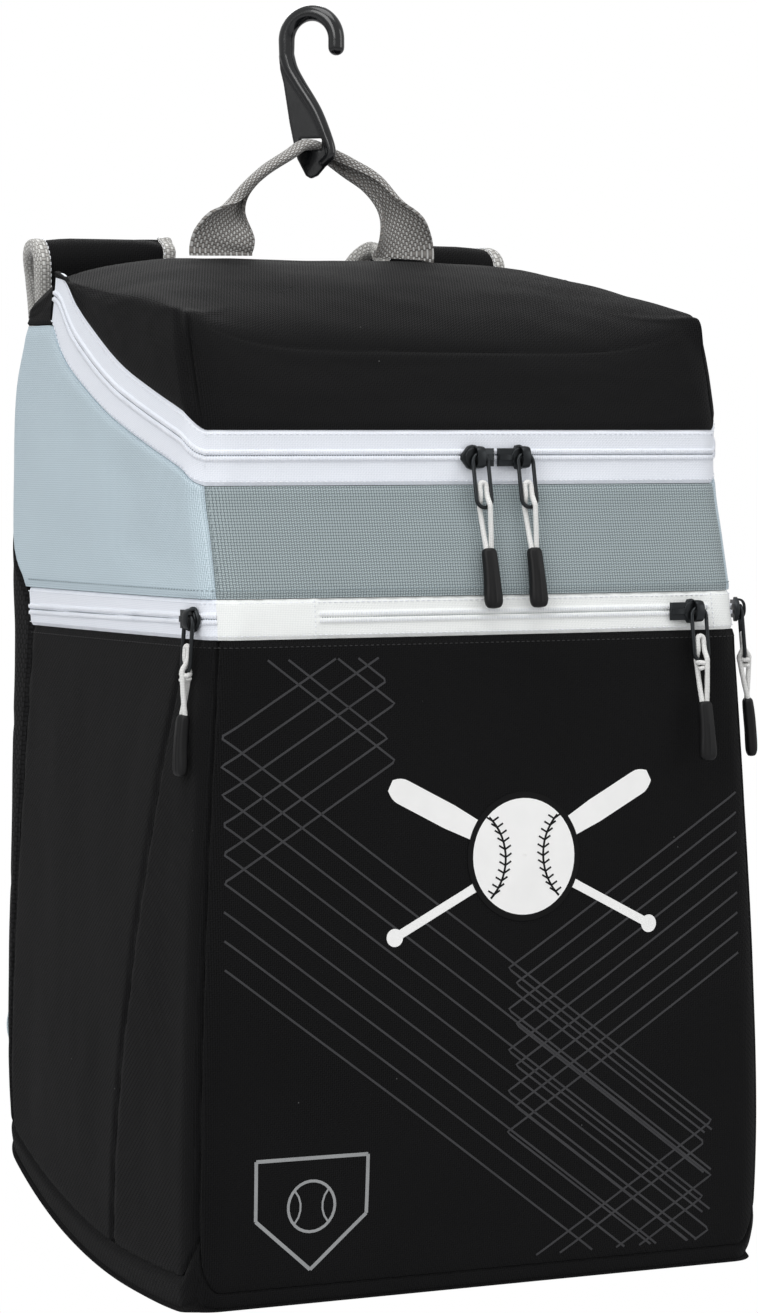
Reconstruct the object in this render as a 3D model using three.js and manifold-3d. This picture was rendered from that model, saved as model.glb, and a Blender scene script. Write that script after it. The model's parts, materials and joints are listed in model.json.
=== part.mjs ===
// A baseball bat backpack, held up by its fence hook.
// Millimetres, +Z up. While it is built, X is 0 in the middle of the bag, Y is 0 at the front of the main zip
// and Z is 0 under the front of the base. The finished group is then moved, so that the hook's seat is the
// origin.
import * as THREE from "three";
import { mergeVertices } from "three/addons/utils/BufferGeometryUtils.js";
import Module from "manifold-3d";

const wasm = await Module();
wasm.setup();

// Driving dimensions of the bag's shell
const topWidth = 311; // across the front at the main zip
const baseWidth = 338; // across the front near the base
const bagDepth = 240; // front of the main zip to the back
const pocketReach = 22; // how far the front pocket stands out in front of the main zip
const sideSwell = 5; // how far the cloth of a side bows out
const cornerRadius = 17; // of the upright corners
const wall = 1.6; // cloth of the shell
const seam = 0.3; // room between two panels, where the real ones are sewn
const lowerZipHeight = 336; // bottom edge of the lower zip band
const lowerZipWidth = 20.5;
const mainZipHeight = 413; // bottom edge of the main zip tape on the front
const mainZipWidth = 28;
const mainZipRise = 84; // how much higher the main zip ends at the back than at the front
const mainZipEnd = 0.78; // share of the side's depth, from the front, where the main zip ends
const lidBack = 535; // height of the lid at the back, in the middle
const lidFront = 484; // height of the lid's soft fold at the front, in the middle
const lidCorner = 508; // height of the lid's front corners
const lidShoulder = 521; // height of the lid's back corners
const lidLean = 22; // how far the lid's front leans back
const lidLeanReach = 0.35; // share of the depth over which that lean fades out
const baseRise = 64; // how much the base climbs to the back
const baseRound = 13; // how far in the base's edge turns under
const frontEdge = 9; // height of the front panel's lower edge
const frontRound = 27; // round lower corners of the front panel
const footBand = 6; // upright strip of the base's cloth above its round edge
const lidCrest = 0.74; // share of the depth where the lid is highest
const gussetTop = 0.13; // share of the side's depth that the pocket gusset reaches under the lower zip
const gussetBack = 0.43; // share of the side's depth that the pocket gusset reaches at the base
const backPad = 9; // thickness of the padded back

// Driving dimensions of the straps and the handle
const strapWidth = 82;
const strapThickness = 11;
const webbingWidth = 25; // lower straps
const strapEndAcross = 0.3; // where a lower strap meets the back's padding, as shares across and up it
const strapEndUp = 0.065;
const webbingThickness = 1.8;
const handleWidth = 37; // haul handle, flat at its ends
const handleFold = 10; // the same webbing folded together at its peak
const handleThickness = 2.4;
const handleFoldThickness = 4.6;
const handleSpread = 57; // middle of the bag to the middle of a handle end
const handlePeak = 596; // height of the webbing's middle where the hook carries it
const handleDepth = 176; // how far back the handle is sewn on
const handleSide = -1.8; // its peak and the hook hang this far off the middle

// Driving dimensions of the fence hook
const hookBend = 14.7; // radius of the bend, to the middle of the rod
const hookRod = 8.9; // diameter of the rod
const hookLength = 94.5;
const hookBladeThickness = 3.2;
const hookSlotWidth = 13.6;
const hookSlotHeight = 7;
const hookSlotDrop = 63.5; // seat to the top of the slot
const hookTurn = -50; // degrees that the hook is turned about the upright

// Driving dimensions of the zip sliders and their pulls
const sliderLength = 19;
const sliderWidth = 13;
const sliderPlate = 2.2;
const bridgeLength = 11; // of the slider's bridge, which holds the bail
const bridgeWall = 1.2;
const bailLength = 30;
const bailWidth = 11;
const bailWire = 2.1;
const cordDiameter = 2.4;
const cordLength = 34; // top of the cord's loop to the rubber end
const pullLoop = 12; // how far the cord's loop stands up inside the bail
const cordLoopRadius = 1.8; // of that loop's bend, to the cord's middle
const gripLength = 31;
const gripWidth = 10;
const gripThickness = 6.5;

const clearance = 0.35; // between pieces that rest on each other

// Sections of the shell from the base up. height is a share of the main zip's height, spread a share of the
// way from the top width to the base width, reach a share of the pocket's reach, swell a share of the side
// swell and deep a share of the bag's depth.
const shellSections = [
  { height: 0.0, spread: 0.9, reach: 0.74, swell: 0.1, deep: 0.87 },
  { height: 0.05, spread: 0.97, reach: 0.9, swell: 0.4, deep: 0.88 },
  { height: 0.2, spread: 1.0, reach: 1.0, swell: 0.8, deep: 0.918 },
  { height: 0.4, spread: 0.82, reach: 0.97, swell: 1.0, deep: 0.932 },
  { height: 0.62, spread: 0.45, reach: 0.89, swell: 0.8, deep: 0.955 },
  { height: 0.8, spread: 0.1, reach: 0.82, swell: 0.5, deep: 0.983 },
  { height: 0.87, spread: 0.03, reach: 0.62, swell: 0.7, deep: 1.0 },
  { height: 0.93, spread: 0.0, reach: 0.34, swell: 0.9, deep: 1.018 },
  { height: 1.0, spread: 0.0, reach: 0.0, swell: 1.0, deep: 1.015 },
  { height: 1.12, spread: 0.03, reach: 0.0, swell: 0.8, deep: 0.995 },
  { height: 1.21, spread: 0.02, reach: 0.0, swell: 0.6, deep: 0.93 },
  { height: 1.4, spread: 0.0, reach: 0.0, swell: 0.4, deep: 0.86 },
];

// How far the back panel wraps round a back corner, as a share of the side. height is as above.
const backWrap = [
  { height: 0.0, share: 0.08 },
  { height: 0.24, share: 0.08 },
  { height: 0.46, share: 0.1 },
  { height: 0.73, share: 0.135 },
  { height: 0.83, share: 0.145 },
  { height: 0.865, share: 0.12 },
  { height: 0.93, share: 0.035 },
  { height: 0.96, share: 0.02 },
  { height: 1.4, share: 0.02 },
];

// The base's lower edge along a side. depth is a share of the bag's depth and rise of the base's rise.
const baseProfile = [
  { depth: -0.1, rise: 0.0 },
  { depth: 0.0, rise: -0.03 },
  { depth: 0.15, rise: -0.01 },
  { depth: 0.32, rise: 0.055 },
  { depth: 0.475, rise: 0.18 },
  { depth: 0.65, rise: 0.4 },
  { depth: 0.81, rise: 0.69 },
  { depth: 0.93, rise: 1.0 },
];

// The main zip's lower edge up a side. run is a share of its way from the front corner to its end, and climb
// a share of its rise.
const mainZipProfile = [
  { run: 0.0, climb: 0.0 },
  { run: 0.06, climb: 0.03 },
  { run: 0.16, climb: 0.125 },
  { run: 0.34, climb: 0.265 },
  { run: 0.53, climb: 0.42 },
  { run: 0.73, climb: 0.625 },
  { run: 0.89, climb: 0.81 },
  { run: 1.0, climb: 1.0 },
];

// Rings of the lid from its rim to its middle. grow is a share of the half width and depth, and lift a share
// of the way from the rim to the lid's top surface.
const lidRings = [
  { grow: 1.0, lift: 0.0 },
  { grow: 1.006, lift: 0.45 },
  { grow: 0.996, lift: 0.8 },
  { grow: 0.96, lift: 0.96 },
  { grow: 0.86, lift: 1.0 },
  { grow: 0.6, lift: 1.0 },
  { grow: 0.3, lift: 1.0 },
];

// Rings of the base from its rim to its middle. Their lift is 1 at the rim and 0 on the base's surface.
const baseRings = [
  { grow: 1.0, lift: 1.0 },
  { grow: 1.0, lift: 0.55 },
  { grow: 0.993, lift: 0.16 },
  { grow: 0.962, lift: 0.0 },
  { grow: 0.55, lift: 0.0 },
];

// Centre line of the right shoulder strap. side is a share of the top's half width, back a share of the bag's
// depth, up a share of the back's height, broad a share of the strap's width and turn its twist in degrees.
const strapSections = [
  { side: 0.67, back: 0.958, up: 0.937, broad: 0.9, turn: 0 },
  { side: 0.67, back: 0.944, up: 0.966, broad: 0.96, turn: 0 },
  { side: 0.67, back: 0.934, up: 0.995, broad: 1.0, turn: 0 },
  { side: 0.665, back: 0.952, up: 1.008, broad: 1.0, turn: -4 },
  { side: 0.65, back: 0.996, up: 1.008, broad: 1.0, turn: -6 },
  { side: 0.615, back: 1.042, up: 0.991, broad: 1.0, turn: -6 },
  { side: 0.588, back: 1.076, up: 0.958, broad: 1.0, turn: -4 },
  { side: 0.565, back: 1.102, up: 0.885, broad: 1.0, turn: 0 },
  { side: 0.54, back: 1.122, up: 0.79, broad: 1.0, turn: 0 },
  { side: 0.53, back: 1.13, up: 0.68, broad: 1.0, turn: 0 },
  { side: 0.535, back: 1.128, up: 0.57, broad: 1.0, turn: 0 },
  { side: 0.58, back: 1.115, up: 0.46, broad: 0.98, turn: 0 },
  { side: 0.65, back: 1.09, up: 0.38, broad: 0.95, turn: 2 },
  { side: 0.72, back: 1.066, up: 0.32, broad: 0.86, turn: 4 },
  { side: 0.78, back: 1.052, up: 0.28, broad: 0.6, turn: 6 },
];

// Route of the lower strap's webbing, with the same columns.
const lowerStrapSections = [
  { side: 0.8, back: 1.046, up: 0.273, broad: 1, turn: 8 },
  { side: 0.88, back: 1.036, up: 0.245, broad: 1, turn: 10 },
  { side: 0.915, back: 1.022, up: 0.215, broad: 1, turn: 6 },
  { side: 0.92, back: 0.99, up: 0.198, broad: 1, turn: 0 },
  { side: 0.92, back: 0.96, up: 0.196, broad: 1, turn: 0 },
];

// The haul handle from its left end over its peak to its right end. along is a share of the handle's spread,
// up a share of the way to its peak, drift a share of its width towards the front, fold how far it is folded
// together, and turn its twist in degrees.
const handleSections = [
  { along: -1.0, up: 0.0, drift: 0.0, fold: 0.0, turn: 0 },
  { along: -1.0, up: 0.06, drift: 0.0, fold: 0.0, turn: 0 },
  { along: -0.98, up: 0.16, drift: 0.05, fold: 0.06, turn: 0 },
  { along: -0.94, up: 0.29, drift: 0.08, fold: 0.3, turn: 8 },
  { along: -0.86, up: 0.45, drift: 0.06, fold: 0.8, turn: 34 },
  { along: -0.74, up: 0.61, drift: 0.05, fold: 0.97, turn: 62 },
  { along: -0.55, up: 0.77, drift: 0.07, fold: 1.0, turn: 82 },
  { along: -0.31, up: 0.91, drift: 0.1, fold: 1.0, turn: 90 },
  { along: -0.14, up: 1.0, drift: 0.04, fold: 1.0, turn: 90 },
  { along: 0.02, up: 1.0, drift: -0.04, fold: 1.0, turn: 88 },
  { along: 0.18, up: 0.93, drift: -0.1, fold: 0.97, turn: 66 },
  { along: 0.4, up: 0.81, drift: -0.06, fold: 0.92, turn: 40 },
  { along: 0.62, up: 0.68, drift: 0.0, fold: 0.88, turn: 26 },
  { along: 0.78, up: 0.5, drift: 0.05, fold: 0.8, turn: 14 },
  { along: 0.9, up: 0.28, drift: 0.08, fold: 0.36, turn: 4 },
  { along: 0.97, up: 0.08, drift: 0.0, fold: 0.03, turn: 0 },
  { along: 0.97, up: 0.0, drift: 0.0, fold: 0.0, turn: 0 },
];

// The hook's rod down its shank, after the round bend. across and down are shares of the hook's length, from
// the seat's upright, and thick a share of the rod.
const hookShank = [
  { across: -0.155, down: 0.19, thick: 0.95 },
  { across: -0.127, down: 0.275, thick: 0.88 },
  { across: -0.071, down: 0.366, thick: 0.8 },
  { across: -0.012, down: 0.452, thick: 0.76 },
  { across: 0.037, down: 0.532, thick: 0.72 },
  { across: 0.086, down: 0.642, thick: 0.68 },
  { across: 0.12, down: 0.739, thick: 0.63 },
  { across: 0.112, down: 0.785, thick: 0.58 },
  { across: 0.068, down: 0.825, thick: 0.5 },
];

// Outline of the hook's flat blade, with the same columns.
const hookBladeOutline = [
  { across: -0.196, down: 0.2 },
  { across: -0.188, down: 0.275 },
  { across: -0.167, down: 0.355 },
  { across: -0.151, down: 0.452 },
  { across: -0.13, down: 0.581 },
  { across: -0.1, down: 0.719 },
  { across: -0.082, down: 0.789 },
  { across: -0.028, down: 0.887 },
  { across: -0.002, down: 0.902 },
  { across: 0.036, down: 0.887 },
  { across: 0.094, down: 0.823 },
  { across: 0.12, down: 0.743 },
  { across: 0.087, down: 0.642 },
  { across: 0.037, down: 0.532 },
  { across: -0.012, down: 0.452 },
  { across: -0.071, down: 0.366 },
  { across: -0.127, down: 0.275 },
  { across: -0.155, down: 0.2 },
];

// Where each slider sits. along is the place round the shell, counted in sides from the left back corner,
// hand the end that its nose points to and hang how far its pull hangs from its middle, both along the zip.
const sliderPlaces = [
  { name: "main_left", along: 1.502, height: mainZipHeight + mainZipWidth / 2, hand: -1, hang: 0 },
  { name: "main_right", along: 1.566, height: mainZipHeight + mainZipWidth / 2, hand: 1, hang: 5 },
  { name: "side_left", along: 0.897, height: lowerZipHeight + lowerZipWidth / 2, hand: 1, hang: 4 },
  { name: "front", along: 1.848, height: lowerZipHeight + lowerZipWidth / 2, hand: 1, hang: 6 },
  { name: "side_right", along: 2.05, height: lowerZipHeight + lowerZipWidth / 2, hand: -1, hang: 0 },
];

// Sections of a pull's rubber end. down is a share of its length, width and thick of its width and thickness.
const gripSections = [
  { down: 0, width: 0.66, thick: 0.7 },
  { down: 0.06, width: 0.82, thick: 0.9 },
  { down: 0.4, width: 0.88, thick: 1 },
  { down: 0.8, width: 1, thick: 1 },
  { down: 0.95, width: 0.9, thick: 0.85 },
  { down: 1, width: 0.55, thick: 0.5 },
];

const halfTop = topWidth / 2;
const halfBase = baseWidth / 2;
const cornerShare = 0.09; // part of each side, at each end, that its corners' arcs take

const finishes = {
  blackCloth: { color: 0x1c1c1d, roughness: 0.9, metalness: 0 },
  greyCloth: { color: 0xa9bac1, roughness: 0.85, metalness: 0 },
  zipTape: { color: 0xf0f2f4, roughness: 0.75, metalness: 0 },
  webbing: { color: 0xa8a6a3, roughness: 0.9, metalness: 0 },
  hookPlastic: { color: 0x1d2022, roughness: 0.3, metalness: 0 },
  sliderMetal: { color: 0x2c3133, roughness: 0.35, metalness: 0.9 },
  cord: { color: 0xececec, roughness: 0.85, metalness: 0 },
  gripRubber: { color: 0x1a1a1a, roughness: 0.6, metalness: 0 },
};

const pack = new THREE.Group();

// Adds a geometry to the bag as one named mesh.
function add(name, geometry, finish) {
  const material = new THREE.MeshStandardMaterial(finishes[finish]);
  const mesh = new THREE.Mesh(geometry, material);
  mesh.name = name;
  pack.add(mesh);
  return mesh;
}

// A column of a table at a place along another column, on a smooth curve through its rows.
function readTable(rows, key, column, at) {
  const last = rows.length - 1;
  let i = 0;
  while (i < last - 1 && rows[i + 1][key] < at) i += 1;
  const span = rows[i + 1][key] - rows[i][key];
  const t = Math.min(1, Math.max(0, (at - rows[i][key]) / span));
  const slope = (j) => {
    const a = rows[Math.max(0, j - 1)];
    const b = rows[Math.min(last, j + 1)];
    return (b[column] - a[column]) / (b[key] - a[key]);
  };
  const from = rows[i][column];
  const to = rows[i + 1][column];
  const startSlope = slope(i) * span;
  const endSlope = slope(i + 1) * span;
  return (
    from * (2 * t ** 3 - 3 * t ** 2 + 1) +
    startSlope * (t ** 3 - 2 * t ** 2 + t) +
    to * (3 * t ** 2 - 2 * t ** 3) +
    endSlope * (t ** 3 - t ** 2)
  );
}

// A geometry from points and triangles, turned so that its faces point out.
function solid(points, faces) {
  let volume = 0;
  for (const [a, b, c] of faces) volume += points[a].dot(points[b].clone().cross(points[c]));
  const turned = volume < 0 ? faces.map(([a, b, c]) => [a, c, b]) : faces;
  const geometry = new THREE.BufferGeometry();
  const positions = points.flatMap((p) => [p.x, p.y, p.z]);
  geometry.setAttribute("position", new THREE.Float32BufferAttribute(positions, 3));
  geometry.setIndex(turned.flat());
  geometry.computeVertexNormals();
  return geometry;
}

// A closed solid through rings of equal length, with flat ends.
function loft(rings) {
  const count = rings[0].length;
  const points = rings.flat();
  const faces = [];
  for (let i = 0; i < rings.length - 1; i += 1)
    for (let j = 0; j < count; j += 1) {
      const a = i * count + j;
      const b = i * count + ((j + 1) % count);
      faces.push([a, b, b + count], [a, b + count, a + count]);
    }
  const top = (rings.length - 1) * count;
  for (let j = 1; j < count - 1; j += 1)
    faces.push([0, j + 1, j], [top, top + j, top + j + 1]);
  return solid(points, faces);
}

// A piece of cloth: point(u, v, depth) gives its outer face at depth 0 and its inner face at its thickness.
function cloth(point, acrossCount, upCount, thickness = wall) {
  const points = [];
  const faces = [];
  const row = acrossCount + 1;
  const layer = row * (upCount + 1);
  for (const depth of [0, thickness])
    for (let j = 0; j <= upCount; j += 1)
      for (let i = 0; i <= acrossCount; i += 1)
        points.push(point(i / acrossCount, j / upCount, depth));
  for (let j = 0; j < upCount; j += 1)
    for (let i = 0; i < acrossCount; i += 1) {
      const a = j * row + i;
      faces.push([a, a + 1, a + 1 + row], [a, a + 1 + row, a + row]);
      const b = a + layer;
      faces.push([b, b + 1 + row, b + 1], [b, b + row, b + 1 + row]);
    }
  const edge = (a, b, flip) => faces.push(flip ? [a, b, b + layer] : [a, b + layer, b]);
  const otherHalf = (a, b, flip) => faces.push(flip ? [a, b + layer, a + layer] : [a, a + layer, b + layer]);
  const lastRow = upCount * row;
  for (let i = 0; i < acrossCount; i += 1)
    for (const half of [edge, otherHalf]) {
      half(i, i + 1, false);
      half(lastRow + i, lastRow + i + 1, true);
    }
  for (let j = 0; j < upCount; j += 1)
    for (const half of [edge, otherHalf]) {
      half(j * row + acrossCount, (j + 1) * row + acrossCount, false);
      half(j * row, (j + 1) * row, true);
    }
  return solid(points, faces);
}

// A dish of cloth: rings shrink from an open rim to a closed middle, on the outer face and again on the
// inner one.
function dish(ring, middle, ringCount, aroundCount, thickness = wall) {
  const points = [];
  const faces = [];
  const layer = ringCount * aroundCount + 1;
  for (const depth of [0, thickness]) {
    for (let k = 0; k < ringCount; k += 1)
      for (let i = 0; i < aroundCount; i += 1) points.push(ring(i / aroundCount, k, depth));
    points.push(middle(depth));
  }
  const flip = (a, b, c, inner) => faces.push(inner ? [a + layer, c + layer, b + layer] : [a, b, c]);
  for (const inner of [false, true]) {
    for (let k = 0; k < ringCount - 1; k += 1)
      for (let i = 0; i < aroundCount; i += 1) {
        const a = k * aroundCount + i;
        const b = k * aroundCount + ((i + 1) % aroundCount);
        flip(a, b, b + aroundCount, inner);
        flip(a, b + aroundCount, a + aroundCount, inner);
      }
    const start = (ringCount - 1) * aroundCount;
    for (let i = 0; i < aroundCount; i += 1)
      flip(start + i, start + ((i + 1) % aroundCount), layer - 1, inner);
  }
  for (let i = 0; i < aroundCount; i += 1) {
    const b = (i + 1) % aroundCount;
    faces.push([i, b + layer, b], [i, i + layer, b + layer]);
  }
  return solid(points, faces);
}

function toManifold(geometry) {
  const bare = geometry.clone();
  bare.deleteAttribute("normal");
  bare.deleteAttribute("uv");
  const merged = mergeVertices(bare, 1e-4);
  return new wasm.Manifold(
    new wasm.Mesh({
      numProp: 3,
      vertProperties: new Float32Array(merged.attributes.position.array),
      triVerts: new Uint32Array(merged.index.array),
    }),
  );
}

function fromManifold(made) {
  const mesh = made.getMesh();
  const positions = [];
  for (let i = 0; i < mesh.numVert; i += 1)
    positions.push(...mesh.vertProperties.slice(i * mesh.numProp, i * mesh.numProp + 3));
  const geometry = new THREE.BufferGeometry();
  geometry.setAttribute("position", new THREE.Float32BufferAttribute(positions, 3));
  geometry.setIndex(Array.from(mesh.triVerts));
  geometry.computeVertexNormals();
  return geometry;
}

function joined(...geometries) {
  return fromManifold(geometries.map(toManifold).reduce((a, b) => a.add(b)));
}

// The shell's outer face: along counts its sides from the left back corner, so 0 to 1 is the left side,
// 1 to 2 the front, 2 to 3 the right side and 3 to 4 the back. depth goes in from it.
function shellPoint(along, z, depth = 0) {
  const at = z / mainZipHeight;
  const section = (column) => readTable(shellSections, "height", column, at);
  const half = halfTop + (halfBase - halfTop) * section("spread") - depth;
  const front = -pocketReach * section("reach") + depth;
  const back = bagDepth * section("deep") - depth;
  const radius = cornerRadius - depth;
  const turned = ((along % 4) + 4) % 4;
  const side = Math.floor(turned);
  const share = turned - side;
  const bow = side === 3 ? 0 : Math.sin(Math.PI * share) * sideSwell * section("swell");
  const corners = [
    [-half, back],
    [-half, front],
    [half, front],
    [half, back],
  ];
  const outward = [
    [-1, 0],
    [0, -1],
    [1, 0],
    [0, 1],
  ];
  const [fromX, fromY] = corners[side];
  const [toX, toY] = corners[(side + 1) % 4];
  const length = Math.hypot(toX - fromX, toY - fromY);
  const [goX, goY] = [(toX - fromX) / length, (toY - fromY) / length];
  const [outX, outY] = outward[side];
  const fromEnd = Math.min(share, 1 - share);
  let run = radius + ((length - 2 * radius) * (fromEnd - cornerShare)) / (1 - 2 * cornerShare);
  let sink = 0;
  if (fromEnd < cornerShare) {
    const angle = (Math.PI / 4) * (1 - fromEnd / cornerShare);
    run = radius * (1 - Math.sin(angle));
    sink = radius * (1 - Math.cos(angle));
  }
  if (share > 0.5) run = length - run;
  return new THREE.Vector3(
    fromX + goX * run + outX * (bow - sink),
    fromY + goY * run + outY * (bow - sink),
    z,
  );
}

function baseEdge(y) {
  return baseRise * readTable(baseProfile, "depth", "rise", y / bagDepth);
}

const mirrored = (along) => 3 - along;

// Distance along a side from the front corner, as a share of the side, on either side of the bag.
const fromFront = (along) => (along < 1.5 ? 1 - along : along - 2);

// Height of the main zip's lower edge round the shell: level on the front, then up along the sides.
function mainZipEdge(along) {
  const run = fromFront(along) / mainZipEnd;
  return mainZipHeight + mainZipRise * readTable(mainZipProfile, "run", "climb", run);
}

// A point of the main zip's tape, v from its lower to its upper edge, square to the way that the tape runs.
function zipTapePlace(along, v) {
  const step = 0.01;
  const way = fromFront(along) > 0 ? (along < 1.5 ? -1 : 1) : 0;
  const slope = (mainZipEdge(along + way * step) - mainZipEdge(along)) / (step * bagDepth);
  const angle = Math.atan(slope);
  return {
    along: along - (way * Math.sin(angle) * mainZipWidth * v) / bagDepth,
    z: mainZipEdge(along) + Math.cos(angle) * mainZipWidth * v,
  };
}

// Height of the lid's top surface over a place in plan.
function lidSurface(x, y) {
  const back = Math.min(1, Math.max(0, (y - lidLean) / (bagDepth * lidCrest - lidLean)));
  const out = Math.min(1, Math.abs(x) / halfTop);
  const rise = Math.sin((back * Math.PI) / 2) ** 0.7;
  const middle = lidFront + (lidBack - lidFront) * rise;
  const edge = lidCorner + (lidShoulder - lidCorner) * back;
  const past = Math.max(0, y - bagDepth * lidCrest);
  return middle + (edge - middle) * out ** 5 - past * 0.4;
}

// Seam between a side panel and the pocket's gusset: it runs back as it goes down.
function gussetSeam(z) {
  const down = Math.max(0, (lowerZipHeight - z) / lowerZipHeight);
  return 1 - gussetTop - (gussetBack - gussetTop) * down ** 0.8;
}

// Seam between a side and the back panel, from the back corner.
const backSeam = (z) => readTable(backWrap, "height", "share", z / mainZipHeight);

// Edge between the upright panels and the base, all round. It climbs with the base, and rises at the round
// lower corners of the front panel.
function shellFoot(along) {
  const turned = ((along % 4) + 4) % 4;
  const y = shellPoint(turned, baseRise / 2).y;
  const side = baseEdge(y) + baseRound + footBand;
  if (turned > 3) return side;
  if (turned >= 1 && turned <= 2) {
    const into = Math.max(0, 1 - (Math.min(turned - 1, 2 - turned) * 2 * halfBase) / frontRound);
    return frontEdge + frontRound * (1 - Math.sqrt(1 - into ** 2));
  }
  const into = Math.max(0, 1 - (fromFront(turned) * bagDepth) / (frontRound * 0.6));
  return side + (frontEdge + frontRound - side) * into;
}

const halfSeam = seam / 2 / bagDepth; // half a seam, counted along a side

// Where the gusset's seam and the back seam meet the base.
let seamFoot = 1 - gussetBack;
let backFoot = cornerShare;
for (let i = 0; i < 20; i += 1) {
  seamFoot = gussetSeam(shellFoot(seamFoot));
  backFoot = backSeam(shellFoot(backFoot));
}

// Places round the shell where every panel has a vertex, so that edges that meet run side by side.
const sidePlaces = [0, cornerShare / 2, backFoot - halfSeam, backFoot + halfSeam, 0.1];
sidePlaces.push(1 - mainZipEnd, 0.33, 0.45, seamFoot - halfSeam, seamFoot + halfSeam, 0.73, 0.82);
sidePlaces.push(1 - cornerShare, 1 - cornerShare / 2, 1 - halfSeam);
const frontPlaces = [halfSeam, cornerShare / 4, cornerShare / 2, cornerShare, 0.2, 0.32, 0.44];
const backPlaces = [0, cornerShare / 2, cornerShare, 0.25, 0.4];
const places = [
  ...sidePlaces,
  ...frontPlaces.map((p) => 1 + p),
  ...frontPlaces.map((p) => 2 - p).reverse(),
  ...sidePlaces.slice(1).map((p) => 3 - p).reverse(),
  ...backPlaces.map((p) => 3 + p),
  ...backPlaces.slice(1).map((p) => 4 - p).reverse(),
];

function placesBetween(from, to) {
  const near = 1e-3;
  const twice = [...places, ...places.map((p) => p + 4)];
  const inner = twice.filter((p) => p > Math.min(from, to) + near && p < Math.max(from, to) - near);
  if (from > to) inner.reverse();
  return [from, ...inner, to];
}

const band = { low: lowerZipHeight + seam / 2, high: lowerZipHeight + lowerZipWidth - seam / 2 };
const upperFoot = band.high + seam;

const columnGap = 0.004; // least room between two columns of vertices, counted along a side

// Heights of a panel's rows of vertices, evenly spaced.
function levels(bottom, top, count) {
  return Array.from({ length: count + 1 }, (_, i) => bottom + ((top - bottom) * i) / count);
}

// A panel of the shell between two places along it and two heights. from and to may follow the height, and
// low and high the place. rows gives the heights of its rows, and pad how far it is padded out at a share of
// it each way. The columns of an upright panel stay at their places, and those that its first edge passes are
// pushed along by it.
function shellPanel(name, finish, { from, to, low, high, rows, upright = false, pad = () => 0 }) {
  const widest = upright ? high : low;
  let [start, end] = [from(lowerZipHeight), to(lowerZipHeight)];
  for (let i = 0; i < 20; i += 1) [start, end] = [from(widest(start)), to(widest(end))];
  const list = placesBetween(start, end);
  const way = Math.sign(end - start);
  const shares = list.map((p) => {
    const foot = low(p);
    return (p - from(foot)) / (to(foot) - from(foot));
  });
  const upCount = rows(low(start), high(start)).length - 1;
  const point = (u, v, depth) => {
    const i = Math.round(u * (list.length - 1));
    const j = Math.round(v * upCount);
    const bottom = low(list[i]);
    let z = bottom;
    let place = list[i];
    for (let k = 0; k < 4; k += 1) {
      z = rows(bottom, high(place))[j];
      place = from(z) + (to(z) - from(z)) * shares[i];
      if (upright) place = from(z) + way * Math.max((list[i] - from(z)) * way, i * columnGap);
    }
    const at = shellPoint(place, z, depth);
    if (depth === 0) at.y += pad(shares[i], (z - bottom) / (high(place) - bottom));
    return at;
  };
  add(name, cloth(point, list.length - 1, upCount), finish);
}

function addShell() {
  const top = () => lowerZipHeight - seam / 2;
  const foot = (a) => shellFoot(a) + seam / 2;
  const panelRows = (bottom, high) => levels(bottom, high, 8);
  const tapeRows = (bottom, high) => levels(bottom, high, 1);
  const upperRows = (bottom, high) => levels(bottom, high, 5);
  const tape = { low: () => band.low, high: () => band.high, rows: tapeRows, upright: true };
  const underZip = (a) => mainZipEdge(a) - seam;
  const sides = [
    { name: "left", place: (a) => a },
    { name: "right", place: mirrored },
  ];
  for (const { name, place } of sides) {
    const back = (z) => place(backSeam(z) + halfSeam);
    const corner = () => place(1 - halfSeam);
    const gussetSide = (z) => place(gussetSeam(z) - halfSeam);
    const gussetFront = (z) => place(gussetSeam(z) + halfSeam);
    const panel = { low: foot, high: top, rows: panelRows };
    shellPanel("side_panel_" + name, "blackCloth", { from: back, to: gussetSide, ...panel });
    shellPanel("pocket_gusset_" + name, "blackCloth", { from: gussetFront, to: corner, ...panel });
    shellPanel("lower_zip_" + name, "zipTape", { from: back, to: corner, ...tape });
    const upper = { low: () => upperFoot, high: underZip, rows: upperRows, upright: true };
    shellPanel("upper_side_" + name, "greyCloth", { from: back, to: corner, ...upper });
  }
  const front = { from: () => 1 + halfSeam, to: () => 2 - halfSeam };
  shellPanel("front_panel", "blackCloth", { ...front, low: foot, high: top, rows: panelRows });
  shellPanel("lower_zip_front", "zipTape", { ...front, ...tape });
  shellPanel("upper_front", "greyCloth", { ...front, low: () => upperFoot, high: underZip, rows: upperRows });

  const backRows = (bottom, high) => [
    ...levels(bottom, lowerZipHeight - seam / 2, 8),
    ...levels(upperFoot, high - seam / 2, 5),
  ];
  const backTop = mainZipHeight + mainZipRise - seam / 2;
  shellPanel("back_panel", "blackCloth", {
    from: (z) => 3 - backSeam(z) + halfSeam,
    to: (z) => 4 + backSeam(z) - halfSeam,
    low: foot,
    high: () => backTop,
    rows: backRows,
    pad: backPadding,
  });
}

// How far the back's padding stands out, at a share across it and a share up it.
function backPadding(across, up) {
  return backPad * (1 - (2 * across - 1) ** 6) * (1 - (2 * up - 1) ** 8);
}

const zipPlaces = placesBetween(1 - mainZipEnd, 2 + mainZipEnd);

function addMainZip() {
  const point = (u, v, depth) => {
    const { along, z } = zipTapePlace(zipPlaces[Math.round(u * (zipPlaces.length - 1))], v);
    return shellPoint(along, z, depth);
  };
  add("main_zip", cloth(point, zipPlaces.length - 1, 2), "zipTape");
}

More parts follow.
